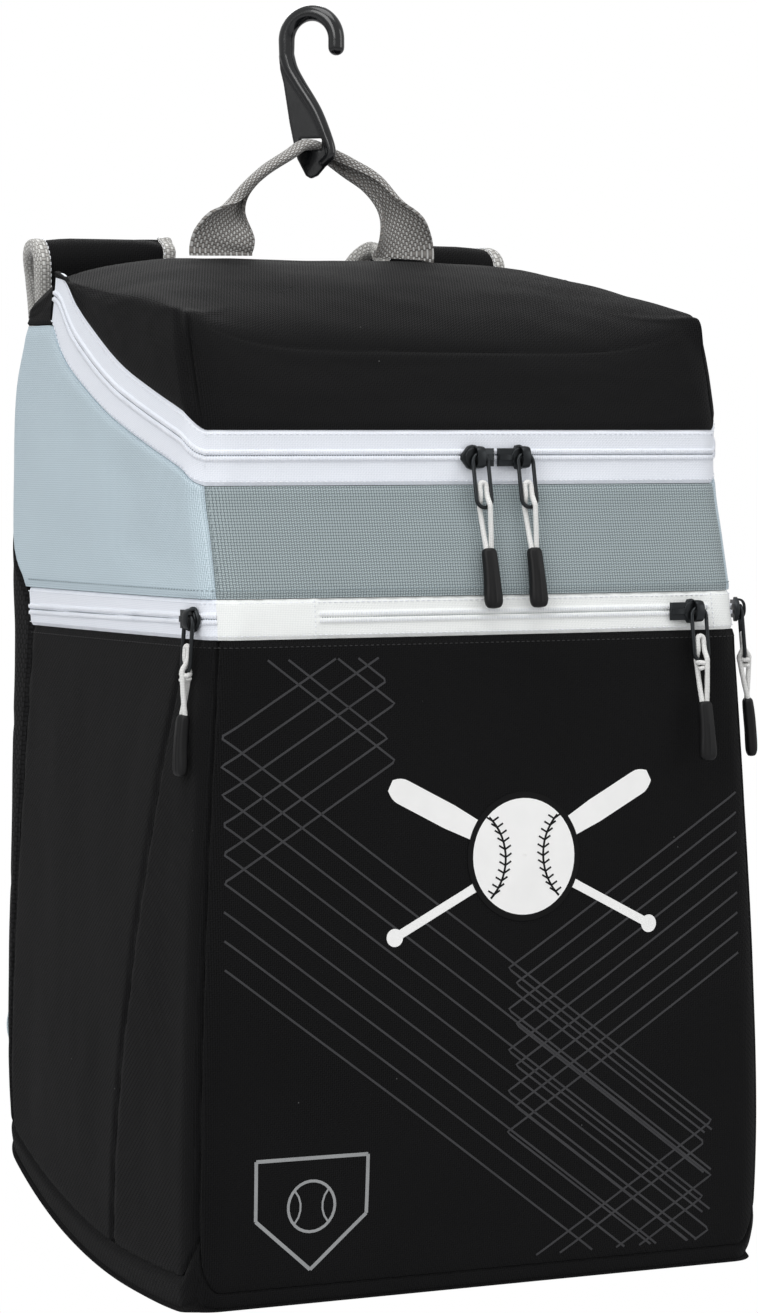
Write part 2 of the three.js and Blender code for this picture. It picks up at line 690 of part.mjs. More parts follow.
// The lid's rim: over the zip's upper edge, round the zip's ends, and on behind them at the back panel's top.
function lidRim() {
  const behind = mainZipHeight + mainZipRise + seam;
  const rim = zipPlaces.map((p) => {
    const { along, z } = zipTapePlace(p, 1);
    return { along, z: z + seam };
  });
  const gap = (2 * seam) / bagDepth;
  const ends = [rim[0].along - gap, rim[rim.length - 1].along + gap];
  const endHeight = rim[0].z - seam;
  const afterZip = placesBetween(zipPlaces[zipPlaces.length - 1] + gap, 4).slice(0, -1);
  const beforeZip = placesBetween(0, zipPlaces[0] - gap);
  return [
    ...rim,
    { along: ends[1], z: endHeight },
    ...afterZip.map((along) => ({ along, z: behind })),
    ...beforeZip.map((along) => ({ along, z: behind })),
    { along: ends[0], z: endHeight },
  ];
}

function addLid() {
  const rim = lidRim();
  const centreY = bagDepth / 2;
  const ring = (u, k, depth) => {
    const { along, z: rimHeight } = rim[Math.round(u * rim.length) % rim.length];
    const { grow, lift } = lidRings[k];
    let z = rimHeight;
    let x = 0;
    let y = 0;
    for (let i = 0; i < 3; i += 1) {
      const edge = shellPoint(along, z, depth);
      const lean = lidLean * lift * Math.max(0, 1 - edge.y / (bagDepth * lidLeanReach));
      x = edge.x * grow;
      y = centreY + (edge.y + lean - centreY) * grow;
      z = rimHeight + (lidSurface(x, y) - rimHeight) * lift;
    }
    return new THREE.Vector3(x, y, k === 0 ? z : z - depth * lift);
  };
  const middle = (depth) => new THREE.Vector3(0, centreY, lidSurface(0, centreY) - depth);
  add("lid", dish(ring, middle, lidRings.length, rim.length), "blackCloth");
}

// The base as a dish: down the foot of the walls, round under, then in to the middle.
function addBase() {
  const around = places;
  const centreY = bagDepth / 2;
  const ring = (u, k, depth) => {
    const along = around[Math.round(u * around.length) % around.length];
    const rim = shellFoot(along) - seam / 2;
    const edge = shellPoint(along, rim, depth);
    const floor = baseEdge(Math.min(bagDepth, edge.y));
    const { grow, lift } = baseRings[k];
    const z = floor + (rim - floor) * lift;
    const place = shellPoint(along, z, depth);
    const x = place.x * grow;
    const y = centreY + (place.y - centreY) * grow;
    if (lift > 0) return new THREE.Vector3(x, y, k === 0 ? z : z + depth * (1 - lift));
    return new THREE.Vector3(x, y, baseEdge(y) + depth);
  };
  const middle = (depth) => new THREE.Vector3(0, centreY, baseEdge(centreY) + depth);
  add("bottom_panel", dish(ring, middle, baseRings.length, around.length), "blackCloth");
}

// A flat band through sections: each has a middle, the way of its width, its width and its thickness.
function bandLoft(sections) {
  const rings = sections.map(({ middle, across, width, thick }, i) => {
    const before = sections[Math.max(0, i - 1)].middle;
    const after = sections[Math.min(sections.length - 1, i + 1)].middle;
    const ahead = after.clone().sub(before).normalize();
    const side = across.clone().addScaledVector(ahead, -across.dot(ahead)).normalize();
    const face = ahead.clone().cross(side);
    const corner = (a, b) =>
      middle.clone().addScaledVector(side, (a * width) / 2).addScaledVector(face, (b * thick) / 2);
    return [
      corner(-1, -0.5),
      corner(-0.93, -1),
      corner(0.93, -1),
      corner(1, -0.5),
      corner(1, 0.5),
      corner(0.93, 1),
      corner(-0.93, 1),
      corner(-1, 0.5),
    ];
  });
  return loft(rings);
}

const degrees = Math.PI / 180;

function strapSection(row, hand, width, thick) {
  const turn = row.turn * degrees;
  return {
    middle: new THREE.Vector3(hand * row.side * halfTop, row.back * bagDepth, row.up * lidBack),
    across: new THREE.Vector3(Math.cos(turn), hand * -Math.sin(turn), 0),
    width: width * row.broad,
    thick,
  };
}

function addStraps() {
  for (const { name, hand } of [
    { name: "left", hand: -1 },
    { name: "right", hand: 1 },
  ]) {
    const pad = strapSections.map((row) => strapSection(row, hand, strapWidth, strapThickness));
    const webbing = lowerStrapSections.map((row) =>
      strapSection(row, hand, webbingWidth, webbingThickness),
    );
    const end = webbing[webbing.length - 1].middle;
    end.y = shellPoint(3.5, end.z).y + backPadding(strapEndAcross, strapEndUp) + clearance;
    add("shoulder_strap_" + name, bandLoft(pad), "blackCloth");
    add("lower_strap_" + name, bandLoft(webbing), "webbing");
  }
}

function addHandle() {
  const foot = lidSurface(handleSpread - handleWidth / 2, handleDepth) + clearance;
  const sections = handleSections.map((row) => {
    const turn = row.turn * degrees;
    const z = foot + (handlePeak - foot) * row.up;
    const y = handleDepth - row.drift * handleWidth;
    return { row, turn, middle: new THREE.Vector3(row.along * handleSpread, y, z) };
  });
  const shaped = sections.map(({ row, turn, middle }, i) => {
    const before = sections[Math.max(0, i - 1)].middle;
    const after = sections[Math.min(sections.length - 1, i + 1)].middle;
    const ahead = after.clone().sub(before).normalize();
    const back = new THREE.Vector3(0, 1, 0);
    const flat = back.clone().cross(ahead).normalize();
    return {
      middle,
      across: flat.multiplyScalar(Math.cos(turn)).addScaledVector(back, Math.sin(turn)),
      width: handleWidth + (handleFold - handleWidth) * row.fold,
      thick: handleThickness + (handleFoldThickness - handleThickness) * row.fold,
    };
  });
  add("haul_handle", bandLoft(shaped), "webbing");
}

function addHook(seat) {
  const bendDrop = hookBend - hookRod / 2;
  const tipDrop = hookRod / 2;
  const path = [{ x: hookBend, z: -bendDrop - tipDrop, r: hookRod / 2 }];
  for (let i = 0; i <= 12; i += 1) {
    const angle = (Math.PI * i) / 12;
    path.push({ x: hookBend * Math.cos(angle), z: -bendDrop + hookBend * Math.sin(angle), r: hookRod / 2 });
  }
  for (const { across, down, thick } of hookShank)
    path.push({ x: across * hookLength, z: -down * hookLength, r: (thick * hookRod) / 2 });
  const sides = 12;
  const rings = path.map(({ x, z, r }, i) => {
    const before = path[Math.max(0, i - 1)];
    const after = path[Math.min(path.length - 1, i + 1)];
    const ahead = new THREE.Vector3(after.x - before.x, 0, after.z - before.z).normalize();
    const out = new THREE.Vector3(-ahead.z, 0, ahead.x);
    return Array.from({ length: sides }, (_, k) => {
      const angle = (2 * Math.PI * k) / sides;
      return new THREE.Vector3(x, 0, z)
        .addScaledVector(out, r * Math.cos(angle))
        .add(new THREE.Vector3(0, r * Math.sin(angle), 0));
    });
  });
  const shape = new THREE.Shape(
    hookBladeOutline.map(({ across, down }) => new THREE.Vector2(across * hookLength, -down * hookLength)),
  );
  const slotFoot = -hookSlotDrop - hookSlotHeight;
  const slot = new THREE.Path();
  slot.moveTo(-hookSlotWidth / 2, slotFoot);
  slot.lineTo(-hookSlotWidth / 2, slotFoot + hookSlotHeight);
  slot.lineTo(hookSlotWidth / 2, slotFoot + hookSlotHeight);
  slot.lineTo(hookSlotWidth / 2, slotFoot);
  slot.closePath();
  shape.holes.push(slot);
  const blade = new THREE.ExtrudeGeometry(shape, { depth: hookBladeThickness, bevelEnabled: false });
  blade.rotateX(Math.PI / 2);
  blade.translate(0, hookBladeThickness / 2, 0);
  const tip = new THREE.SphereGeometry(hookRod / 2, sides, 8);
  tip.translate(path[0].x, 0, path[0].z);
  const hook = add("fence_hook", joined(loft(rings), blade, tip), "hookPlastic");
  hook.rotation.z = hookTurn * degrees;
  hook.position.copy(seat);
}

// How far a pull that hangs against the shell leans out, so that the cloth below its zip stays behind it.
function pullLean(along, height, outward) {
  const here = shellPoint(along, height);
  const length = bailLength + cordLength + gripLength;
  let lean = 0;
  for (let k = 1; k <= 8; k += 1) {
    const drop = (length * k) / 8;
    const out = shellPoint(along, height - drop).sub(here).dot(outward);
    lean = Math.max(lean, Math.atan2(out, drop));
  }
  return lean;
}

// A slider with its pull, built as if on the front: -Y is out from the zip.
function addSlider({ name, along, height, hand, hang }) {
  const ahead = shellPoint(along + 0.01, height).sub(shellPoint(along - 0.01, height)).normalize();
  const outward = new THREE.Vector3(ahead.y, -ahead.x, 0);
  const group = new THREE.Group();
  group.position.copy(shellPoint(along, height));
  group.rotation.z = Math.atan2(ahead.y, ahead.x);
  pack.add(group);

  const nose = (hand * sliderLength) / 2;
  const half = sliderWidth / 2;
  const standsOut = [-half, half].map((up) =>
    shellPoint(along, height + up).sub(group.position).dot(outward),
  );
  const rest = clearance + Math.max(0, ...standsOut);
  const plateShape = new THREE.Shape([
    new THREE.Vector2(-nose, -half * 0.7),
    new THREE.Vector2(nose * 0.2, -half),
    new THREE.Vector2(nose * 0.8, -half),
    new THREE.Vector2(nose, -half * 0.6),
    new THREE.Vector2(nose, half * 0.6),
    new THREE.Vector2(nose * 0.8, half),
    new THREE.Vector2(nose * 0.2, half),
    new THREE.Vector2(-nose, half * 0.7),
  ]);
  const plate = new THREE.ExtrudeGeometry(plateShape, { depth: sliderPlate, bevelEnabled: false });
  plate.rotateX(Math.PI / 2);
  plate.translate(0, -rest, 0);
  const plateFace = rest + sliderPlate;
  const eyeDepth = bailWire + 2 * clearance;
  const eyeHalf = bridgeLength / 2 - 2 * bridgeWall;
  const bridgeShape = new THREE.Shape([
    new THREE.Vector2(plateFace - bridgeWall / 2, -bridgeLength / 2),
    new THREE.Vector2(plateFace + eyeDepth + bridgeWall, -bridgeLength / 2 + bridgeWall),
    new THREE.Vector2(plateFace + eyeDepth + bridgeWall, bridgeLength / 2 - bridgeWall),
    new THREE.Vector2(plateFace - bridgeWall / 2, bridgeLength / 2),
  ]);
  bridgeShape.holes.push(
    new THREE.Path([
      new THREE.Vector2(plateFace, -eyeHalf),
      new THREE.Vector2(plateFace, eyeHalf),
      new THREE.Vector2(plateFace + eyeDepth, eyeHalf),
      new THREE.Vector2(plateFace + eyeDepth, -eyeHalf),
    ]),
  );
  const bridgeWidth = bailWidth - 2 * bailWire - 4 * clearance;
  const bridge = new THREE.ExtrudeGeometry(bridgeShape, { depth: bridgeWidth, bevelEnabled: false });
  const outFromShape = new THREE.Matrix4().makeBasis(
    new THREE.Vector3(0, -1, 0),
    new THREE.Vector3(0, 0, 1),
    new THREE.Vector3(-1, 0, 0),
  );
  bridge.applyMatrix4(outFromShape);
  bridge.translate(hang + bridgeWidth / 2, 0, 0);
  group.add(add("slider_" + name, joined(plate, bridge), "sliderMetal"));

  const pull = new THREE.Group();
  pull.position.set(hang, -plateFace - eyeDepth / 2, eyeHalf - clearance - bailWire / 2);
  pull.rotation.x = -pullLean(along, height, outward);
  group.add(pull);

  const ringShape = roundedBar(bailWidth, bailLength);
  ringShape.holes.push(roundedBar(bailWidth - 2 * bailWire, bailLength - 2 * bailWire));
  const ring = new THREE.ExtrudeGeometry(ringShape, {
    depth: bailWire,
    bevelEnabled: false,
    curveSegments: 8,
  });
  ring.rotateX(Math.PI / 2);
  ring.translate(0, bailWire / 2, (bailWire - bailLength) / 2);
  pull.add(add("bail_" + name, ring, "sliderMetal"));

  const leg = bailWire - bailLength;
  const off = (bailWire + cordDiameter) / 2 + clearance;
  const beside = cordDiameter / 2 + clearance / 2;
  const loopTop = leg + bailWire / 2 + pullLoop;
  const cordFoot = loopTop - cordLength;
  const bendCorner = cordLoopRadius * Math.SQRT1_2;
  const up = [
    [-beside, off * 0.4, cordFoot + cordLength * 0.2],
    [-beside, off, leg - 1],
    [-beside, off, leg + 1],
    [-cordLoopRadius, off * 0.1, leg + pullLoop * 0.5],
    [-cordLoopRadius, 0, loopTop - cordLoopRadius],
    [-bendCorner, 0, loopTop - cordLoopRadius + bendCorner],
  ];
  const down = up.map(([x, y, z]) => [-x, -y, z]).reverse();
  const route = [[-beside, 0, cordFoot], ...up, [0, 0, loopTop], ...down, [beside, 0, cordFoot]];
  pull.add(add("pull_cord_" + name, cordLoft(route), "cord"));

  const gripSides = 10;
  const gripRings = gripSections.map(({ down, width, thick }) =>
    Array.from({ length: gripSides }, (_, k) => {
      const angle = (2 * Math.PI * k) / gripSides;
      return new THREE.Vector3(
        (Math.cos(angle) * width * gripWidth) / 2,
        (Math.sin(angle) * thick * gripThickness) / 2,
        cordFoot - clearance - down * gripLength,
      );
    }),
  );
  pull.add(add("pull_grip_" + name, loft(gripRings), "gripRubber"));
}

// A round cord on a smooth route through points. Nowhere does the route run along Y.
function cordLoft(route) {
  const points = route.map(([x, y, z]) => new THREE.Vector3(x, y, z));
  const curve = new THREE.CatmullRomCurve3(points, false, "catmullrom", 0.4);
  const steps = 22;
  const sides = 6;
  const rings = Array.from({ length: steps + 1 }, (_, i) => {
    const middle = curve.getPoint(i / steps);
    const ahead = curve.getTangent(i / steps);
    const face = new THREE.Vector3(0, 1, 0).addScaledVector(ahead, -ahead.y).normalize();
    const side = ahead.clone().cross(face);
    return Array.from({ length: sides }, (_side, k) => {
      const angle = (2 * Math.PI * k) / sides;
      return middle
        .clone()
        .addScaledVector(side, (Math.cos(angle) * cordDiameter) / 2)
        .addScaledVector(face, (Math.sin(angle) * cordDiameter) / 2);
    });
  });
  return loft(rings);
}

// A bar with round ends, standing up.
function roundedBar(width, height) {
  const r = width / 2;
  const shape = new THREE.Shape();
  shape.absarc(0, height / 2 - r, r, 0, Math.PI, false);
  shape.absarc(0, -height / 2 + r, r, Math.PI, 2 * Math.PI, false);
  shape.closePath();
  return shape;
}

const slotMiddle = handlePeak - handleFoldThickness / 2 - clearance + hookSlotHeight;
const hookSeat = new THREE.Vector3(handleSide, handleDepth, slotMiddle + hookSlotDrop);

addShell();
addMainZip();
addLid();
addBase();
addStraps();
addHandle();
addHook(hookSeat);
sliderPlaces.forEach(addSlider);
pack.position.copy(hookSeat).negate();

export default pack;
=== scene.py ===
# A baseball bat backpack that hangs by its fence hook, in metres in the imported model's frame.
# The bag's own frame is used while shapes are worked out: millimetres, X across, Y back, Z up from the base.
import json
import math

import bmesh
import bpy
import numpy as np
from mathutils import Matrix, Vector
from mathutils.bvhtree import BVHTree

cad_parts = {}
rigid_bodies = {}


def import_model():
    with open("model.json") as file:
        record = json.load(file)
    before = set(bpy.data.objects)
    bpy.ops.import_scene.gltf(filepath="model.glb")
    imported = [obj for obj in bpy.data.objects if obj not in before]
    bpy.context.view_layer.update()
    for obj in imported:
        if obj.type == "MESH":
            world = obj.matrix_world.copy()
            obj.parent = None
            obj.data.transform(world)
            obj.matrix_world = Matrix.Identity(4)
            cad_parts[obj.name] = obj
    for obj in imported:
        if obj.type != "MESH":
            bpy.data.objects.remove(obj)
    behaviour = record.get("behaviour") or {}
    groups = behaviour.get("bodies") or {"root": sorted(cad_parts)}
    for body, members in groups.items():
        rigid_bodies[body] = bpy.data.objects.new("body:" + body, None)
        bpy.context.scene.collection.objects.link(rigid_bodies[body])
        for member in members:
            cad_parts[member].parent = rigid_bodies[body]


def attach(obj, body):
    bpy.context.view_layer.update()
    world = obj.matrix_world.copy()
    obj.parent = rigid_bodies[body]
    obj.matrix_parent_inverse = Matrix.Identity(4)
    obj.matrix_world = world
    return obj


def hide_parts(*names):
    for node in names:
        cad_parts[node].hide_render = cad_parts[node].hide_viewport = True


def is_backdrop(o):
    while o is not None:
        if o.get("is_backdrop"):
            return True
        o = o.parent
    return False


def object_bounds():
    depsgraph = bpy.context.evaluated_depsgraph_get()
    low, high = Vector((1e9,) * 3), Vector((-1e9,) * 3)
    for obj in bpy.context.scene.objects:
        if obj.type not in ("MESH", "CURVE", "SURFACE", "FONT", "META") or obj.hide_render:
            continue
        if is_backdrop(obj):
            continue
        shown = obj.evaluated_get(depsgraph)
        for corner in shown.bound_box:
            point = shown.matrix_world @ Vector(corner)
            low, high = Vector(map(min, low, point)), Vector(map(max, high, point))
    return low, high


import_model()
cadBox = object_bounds()
print("frame loaded")

# Camera, light and floor

shot = {"place": (-1.1711, -2.2811, -0.22285), "pitch": 87.226, "turn": -28.0, "lens": 128.15, "sensor": 36.0}

cameraData = bpy.data.cameras.new("shotCamera")
cameraData.lens = shot["lens"]
cameraData.sensor_fit = "VERTICAL"
cameraData.sensor_height = shot["sensor"]
cameraData.clip_end = 60.0
camera = bpy.data.objects.new("shotCamera", cameraData)
camera.location = shot["place"]
camera.rotation_euler = (math.radians(shot["pitch"]), 0.0, math.radians(shot["turn"]))
bpy.context.scene.collection.objects.link(camera)
bpy.context.scene.camera = camera
bpy.context.scene.view_settings.view_transform = "Standard"

studio = {
    "worldLight": 0.56,
    "backdrop": 1.0,
    # name: (place, aims at, size, power)
    "lamps": {
        "keyLeft": ((-2.3, -1.5, 1.1), (0.0, -0.05, -0.35), (1.5, 1.8), 33.0),
        "topSoft": ((-0.2, -0.7, 2.2), (0.0, -0.02, -0.3), (2.2, 1.8), 34.0),
        "fillRight": ((2.0, -2.0, 0.5), (0.0, 0.0, -0.35), (1.2, 1.6), 12.0),
        "backRim": ((0.6, 2.2, 1.2), (0.0, 0.0, -0.2), (1.6, 1.2), 22.0),
    },
    "floorDrop": 0.28,
    "floorSize": 9.0,
}


def shineLamp(name, place, aim, size, power):
    lamp = bpy.data.lights.new(name, "AREA")
    lamp.shape = "RECTANGLE"
    lamp.size, lamp.size_y = size
    lamp.energy = power
    holder = bpy.data.objects.new(name, lamp)
    holder.location = place
    holder.rotation_euler = (Vector(aim) - Vector(place)).to_track_quat("-Z", "Y").to_euler()
    bpy.context.scene.collection.objects.link(holder)


def buildStudio():
    world = bpy.data.worlds.new("studioWorld")
    bpy.context.scene.world = world
    world.use_nodes = True
    tree = world.node_tree
    back = tree.nodes["Background"]
    back.inputs["Color"].default_value = (1.0, 1.0, 1.0, 1.0)
    path = tree.nodes.new("ShaderNodeLightPath")
    seen = tree.nodes.new("ShaderNodeMix")
    seen.inputs["A"].default_value = studio["worldLight"]
    seen.inputs["B"].default_value = studio["backdrop"]
    tree.links.new(path.outputs["Is Camera Ray"], seen.inputs["Factor"])
    tree.links.new(seen.outputs["Result"], back.inputs["Strength"])
    for name, (place, aim, size, power) in studio["lamps"].items():
        shineLamp(name, place, aim, size, power)
    shape = bmesh.new()
    bmesh.ops.create_circle(shape, cap_ends=True, segments=96, radius=studio["floorSize"])
    mesh = bpy.data.meshes.new("paleFloor")
    shape.to_mesh(mesh)
    shape.free()
    floor = bpy.data.objects.new("paleFloor", mesh)
    floor.location = (0.0, 0.0, cadBox[0].z - studio["floorDrop"])
    bpy.context.scene.collection.objects.link(floor)
    pale = bpy.data.materials.new("paleFloor")
    pale.use_nodes = True
    nodes, links = pale.node_tree.nodes, pale.node_tree.links
    shader = nodes["Principled BSDF"]
    shader.inputs["Base Color"].default_value = (0.55, 0.55, 0.56, 1.0)
    shader.inputs["Roughness"].default_value = 0.9
    glow = nodes.new("ShaderNodeEmission")
    path = nodes.new("ShaderNodeLightPath")
    mix = nodes.new("ShaderNodeMixShader")
    links.new(path.outputs["Is Camera Ray"], mix.inputs["Fac"])
    links.new(shader.outputs["BSDF"], mix.inputs[1])
    links.new(glow.outputs["Emission"], mix.inputs[2])
    links.new(mix.outputs["Shader"], nodes["Material Output"].inputs["Surface"])
    mesh.materials.append(pale)
    floor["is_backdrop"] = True


buildStudio()
print("camera, light and floor ready")

# Materials


def addGroup(name, inputs, outputs):
    group = bpy.data.node_groups.new(name, "ShaderNodeTree")
    for label, kind, value in inputs:
        socket = group.interface.new_socket(label, in_out="INPUT", socket_type=kind)
        if value is not None:
            socket.default_value = value
    for label, kind in outputs:
        group.interface.new_socket(label, in_out="OUTPUT", socket_type=kind)
    return group, group.nodes.new("NodeGroupInput"), group.nodes.new("NodeGroupOutput")


def mathNode(tree, operation, first, second=None):
    node = tree.nodes.new("ShaderNodeMath")
    node.operation = operation
    for slot, value in ((0, first), (1, second)):
        if value is None:
            continue
        if isinstance(value, (int, float)):
            node.inputs[slot].default_value = value
        else:
            tree.links.new(value, node.inputs[slot])
    return node.outputs[0]


def mixColor(tree, factor, first, second, blend="MIX"):
    node = tree.nodes.new("ShaderNodeMix")
    node.data_type = "RGBA"
    node.blend_type = blend
    ends = [s for s in node.inputs if s.name in ("A", "B") and s.type == "RGBA"]
    for socket, value in ((node.inputs[0], factor), (ends[0], first), (ends[1], second)):
        if isinstance(value, (int, float)):
            socket.default_value = value
        elif isinstance(value, tuple):
            socket.default_value = value
        else:
            tree.links.new(value, socket)
    return next(s for s in node.outputs if s.type == "RGBA")


def colour(hexText):
    parts = [int(hexText[i : i + 2], 16) / 255.0 for i in (0, 2, 4)]
    linear = [p / 12.92 if p <= 0.04045 else ((p + 0.055) / 1.055) ** 2.4 for p in parts]
    return (*linear, 1.0)


# Threads that cross: Repeat 2 is a plain weave, 3 or 4 a twill. Pitch is in millimetres.
def buildThreadWeave():
    group, inlet, outlet = addGroup(
        "threadWeave",
        [
            ("Vector", "NodeSocketVector", None),
            ("Pitch", "NodeSocketFloat", 1.0),
            ("Repeat", "NodeSocketFloat", 2.0),
            ("Waver", "NodeSocketFloat", 0.15),
        ],
        [("Height", "NodeSocketFloat"), ("Over", "NodeSocketFloat")],
    )
    links = group.links
    drift = group.nodes.new("ShaderNodeTexNoise")
    drift.inputs["Scale"].default_value = 90.0
    drift.inputs["Detail"].default_value = 1.0
    links.new(inlet.outputs["Vector"], drift.inputs["Vector"])
    perThread = mathNode(group, "DIVIDE", 1000.0, inlet.outputs["Pitch"])
    scaled = group.nodes.new("ShaderNodeVectorMath")
    scaled.operation = "SCALE"
    links.new(inlet.outputs["Vector"], scaled.inputs[0])
    links.new(perThread, scaled.inputs["Scale"])
    parts = group.nodes.new("ShaderNodeSeparateXYZ")
    links.new(scaled.outputs[0], parts.inputs[0])
    push = mathNode(group, "MULTIPLY", drift.outputs["Fac"], inlet.outputs["Waver"])
    across = mathNode(group, "ADD", parts.outputs[0], push)
    up = mathNode(group, "ADD", parts.outputs[1], push)
    warp = mathNode(group, "ABSOLUTE", mathNode(group, "SINE", mathNode(group, "MULTIPLY", across, math.pi)))
    weft = mathNode(group, "ABSOLUTE", mathNode(group, "SINE", mathNode(group, "MULTIPLY", up, math.pi)))
    cell = mathNode(group, "ADD", mathNode(group, "FLOOR", across), mathNode(group, "FLOOR", up))
    turn = mathNode(group, "FLOORED_MODULO", cell, inlet.outputs["Repeat"])
    over = mathNode(group, "LESS_THAN", turn, 0.99)
    above = mathNode(group, "MULTIPLY", weft, over)
    below = mathNode(group, "MULTIPLY", warp, mathNode(group, "SUBTRACT", 1.0, over))
    links.new(mathNode(group, "ADD", above, below), outlet.inputs["Height"])
    links.new(over, outlet.inputs["Over"])
    return group


# Slow unevenness of a cloth's tone, and the few specks of lint on it.
def buildClothTone():
    group, inlet, outlet = addGroup(
        "clothTone",
        [
            ("Vector", "NodeSocketVector", None),
            ("Amount", "NodeSocketFloat", 0.2),
            ("Lint", "NodeSocketFloat", 0.5),
        ],
        [("Tone", "NodeSocketFloat"), ("Speck", "NodeSocketFloat")],
    )
    links = group.links
    broad = group.nodes.new("ShaderNodeTexNoise")
    broad.inputs["Scale"].default_value = 14.0
    broad.inputs["Detail"].default_value = 3.0
    fine = group.nodes.new("ShaderNodeTexNoise")
    fine.inputs["Scale"].default_value = 420.0
    fine.inputs["Detail"].default_value = 2.0
    flecks = group.nodes.new("ShaderNodeTexVoronoi")
    flecks.inputs["Scale"].default_value = 46.0
    for node in (broad, fine, flecks):
        links.new(inlet.outputs["Vector"], node.inputs["Vector"])
    both = mathNode(group, "ADD", broad.outputs["Fac"], mathNode(group, "MULTIPLY", fine.outputs["Fac"], 0.6))
    centred = mathNode(group, "SUBTRACT", both, 0.8)
    swing = mathNode(group, "MULTIPLY", centred, inlet.outputs["Amount"])
    links.new(mathNode(group, "ADD", swing, 1.0), outlet.inputs["Tone"])
    tiny = mathNode(group, "LESS_THAN", flecks.outputs["Distance"], 0.016)
    links.new(mathNode(group, "MULTIPLY", tiny, inlet.outputs["Lint"]), outlet.inputs["Speck"])
    return group


threadWeave = buildThreadWeave()
clothTone = buildClothTone()


def startMaterial(name):
    made = bpy.data.materials.new(name)
    made.use_nodes = True
    return made, made.node_tree, made.node_tree.nodes["Principled BSDF"]


def uvSource(tree):
    node = tree.nodes.new("ShaderNodeUVMap")
    node.uv_map = "lay"
    return node.outputs["UV"]


def placeGroup(tree, group, **values):
    node = tree.nodes.new("ShaderNodeGroup")
    node.node_tree = group
    for label, value in values.items():
        if isinstance(value, (int, float)):
            node.inputs[label].default_value = value
        else:
            tree.links.new(value, node.inputs[label])
    return node


def addBump(tree, shader, height, strength, distance):
    bump = tree.nodes.new("ShaderNodeBump")
    bump.inputs["Strength"].default_value = strength
    bump.inputs["Distance"].default_value = distance
    tree.links.new(height, bump.inputs["Height"])
    tree.links.new(bump.outputs["Normal"], shader.inputs["Normal"])


# low is the colour between threads, high that on their crowns, second that of the threads the other way.
def clothMaterial(name, look):
    made, tree, shader = startMaterial(name)
    vector = uvSource(tree)
    weave = placeGroup(
        tree, threadWeave, Vector=vector, Pitch=look["pitch"], Repeat=look["repeat"], Waver=0.15
    )
    tone = placeGroup(tree, clothTone, Vector=vector, Amount=look["uneven"], Lint=look.get("lint", 0.0))
    second = look.get("second", look["high"])
    crowns = mixColor(tree, weave.outputs["Over"], colour(look["high"]), colour(second))
    threads = mixColor(tree, weave.outputs["Height"], colour(look["low"]), crowns)
    grey = tree.nodes.new("ShaderNodeCombineColor")
    for slot in range(3):
        tree.links.new(tone.outputs["Tone"], grey.inputs[slot])
    toned = mixColor(tree, 1.0, threads, grey.outputs[0], "MULTIPLY")
    flecked = mixColor(tree, tone.outputs["Speck"], toned, colour("8f8f8f"))
    tree.links.new(flecked, shader.inputs["Base Color"])
    shader.inputs["Roughness"].default_value = look["rough"]
    shader.inputs["Specular IOR Level"].default_value = look.get("gloss", 0.3)
    shader.inputs["Sheen Weight"].default_value = look["sheen"]
    shader.inputs["Sheen Roughness"].default_value = look.get("sheenRough", 0.45)
    addBump(tree, shader, weave.outputs["Height"], look["bump"], 0.0003)
    return made


clothLooks = {
    "blackTwill": {"low": "040404", "high": "171718", "pitch": 1.1, "repeat": 3, "uneven": 0.35, "lint": 0.35,
                   "rough": 0.8, "sheen": 0.035, "gloss": 0.07, "bump": 0.7},
    # One grey cloth in two copies: the side copy is painted lighter and bluer, as if lit from the left, and the
    # front copy is painted darker, as if in shade.
    "greyClothPaintedLit": {"low": "94a7b1", "high": "cddce4", "pitch": 1.15, "repeat": 3, "uneven": 0.07,
                      "rough": 0.85, "sheen": 0.1, "bump": 0.4},
    "greyClothPaintedShade": {"low": "3f4a4e", "high": "a9b5b8", "pitch": 1.5, "repeat": 2, "uneven": 0.08,
                       "rough": 0.85, "sheen": 0.08, "bump": 0.5},
    "zipTapeWhite": {"low": "dfe5ee", "high": "f2f5fc", "pitch": 0.9, "repeat": 2, "uneven": 0.03,
                     "rough": 0.7, "sheen": 0.1, "bump": 0.3},
    "zipTapeWarm": {"low": "e0e3e3", "high": "f5f7f5", "pitch": 0.9, "repeat": 2, "uneven": 0.03,
                    "rough": 0.7, "sheen": 0.1, "bump": 0.3},
    "checkedWebbing": {"low": "4a4744", "high": "cfcfcd", "second": "8f8b87", "pitch": 1.7, "repeat": 2,
                       "uneven": 0.1, "rough": 0.75, "sheen": 0.15, "bump": 0.9},
    "bindingTape": {"low": "6d6b68", "high": "dededb", "second": "b3b1ad", "pitch": 1.4, "repeat": 2,
                    "uneven": 0.1, "rough": 0.75, "sheen": 0.15, "bump": 0.8},
    "strapWing": {"low": "8fa4ac", "high": "c3d0d6", "pitch": 1.1, "repeat": 2, "uneven": 0.08,
                  "rough": 0.85, "sheen": 0.1, "bump": 0.4},
    "backMesh": {"low": "030303", "high": "1c1c1d", "pitch": 2.6, "repeat": 2, "uneven": 0.3,
                 "rough": 0.9, "sheen": 0.03, "gloss": 0.08, "bump": 1.0},
    "pullCord": {"low": "c9c9c7", "high": "f0f0ee", "pitch": 0.8, "repeat": 2, "uneven": 0.04,
                 "rough": 0.7, "sheen": 0.1, "bump": 0.5},
}
materials = {name: clothMaterial(name, look) for name, look in clothLooks.items()}


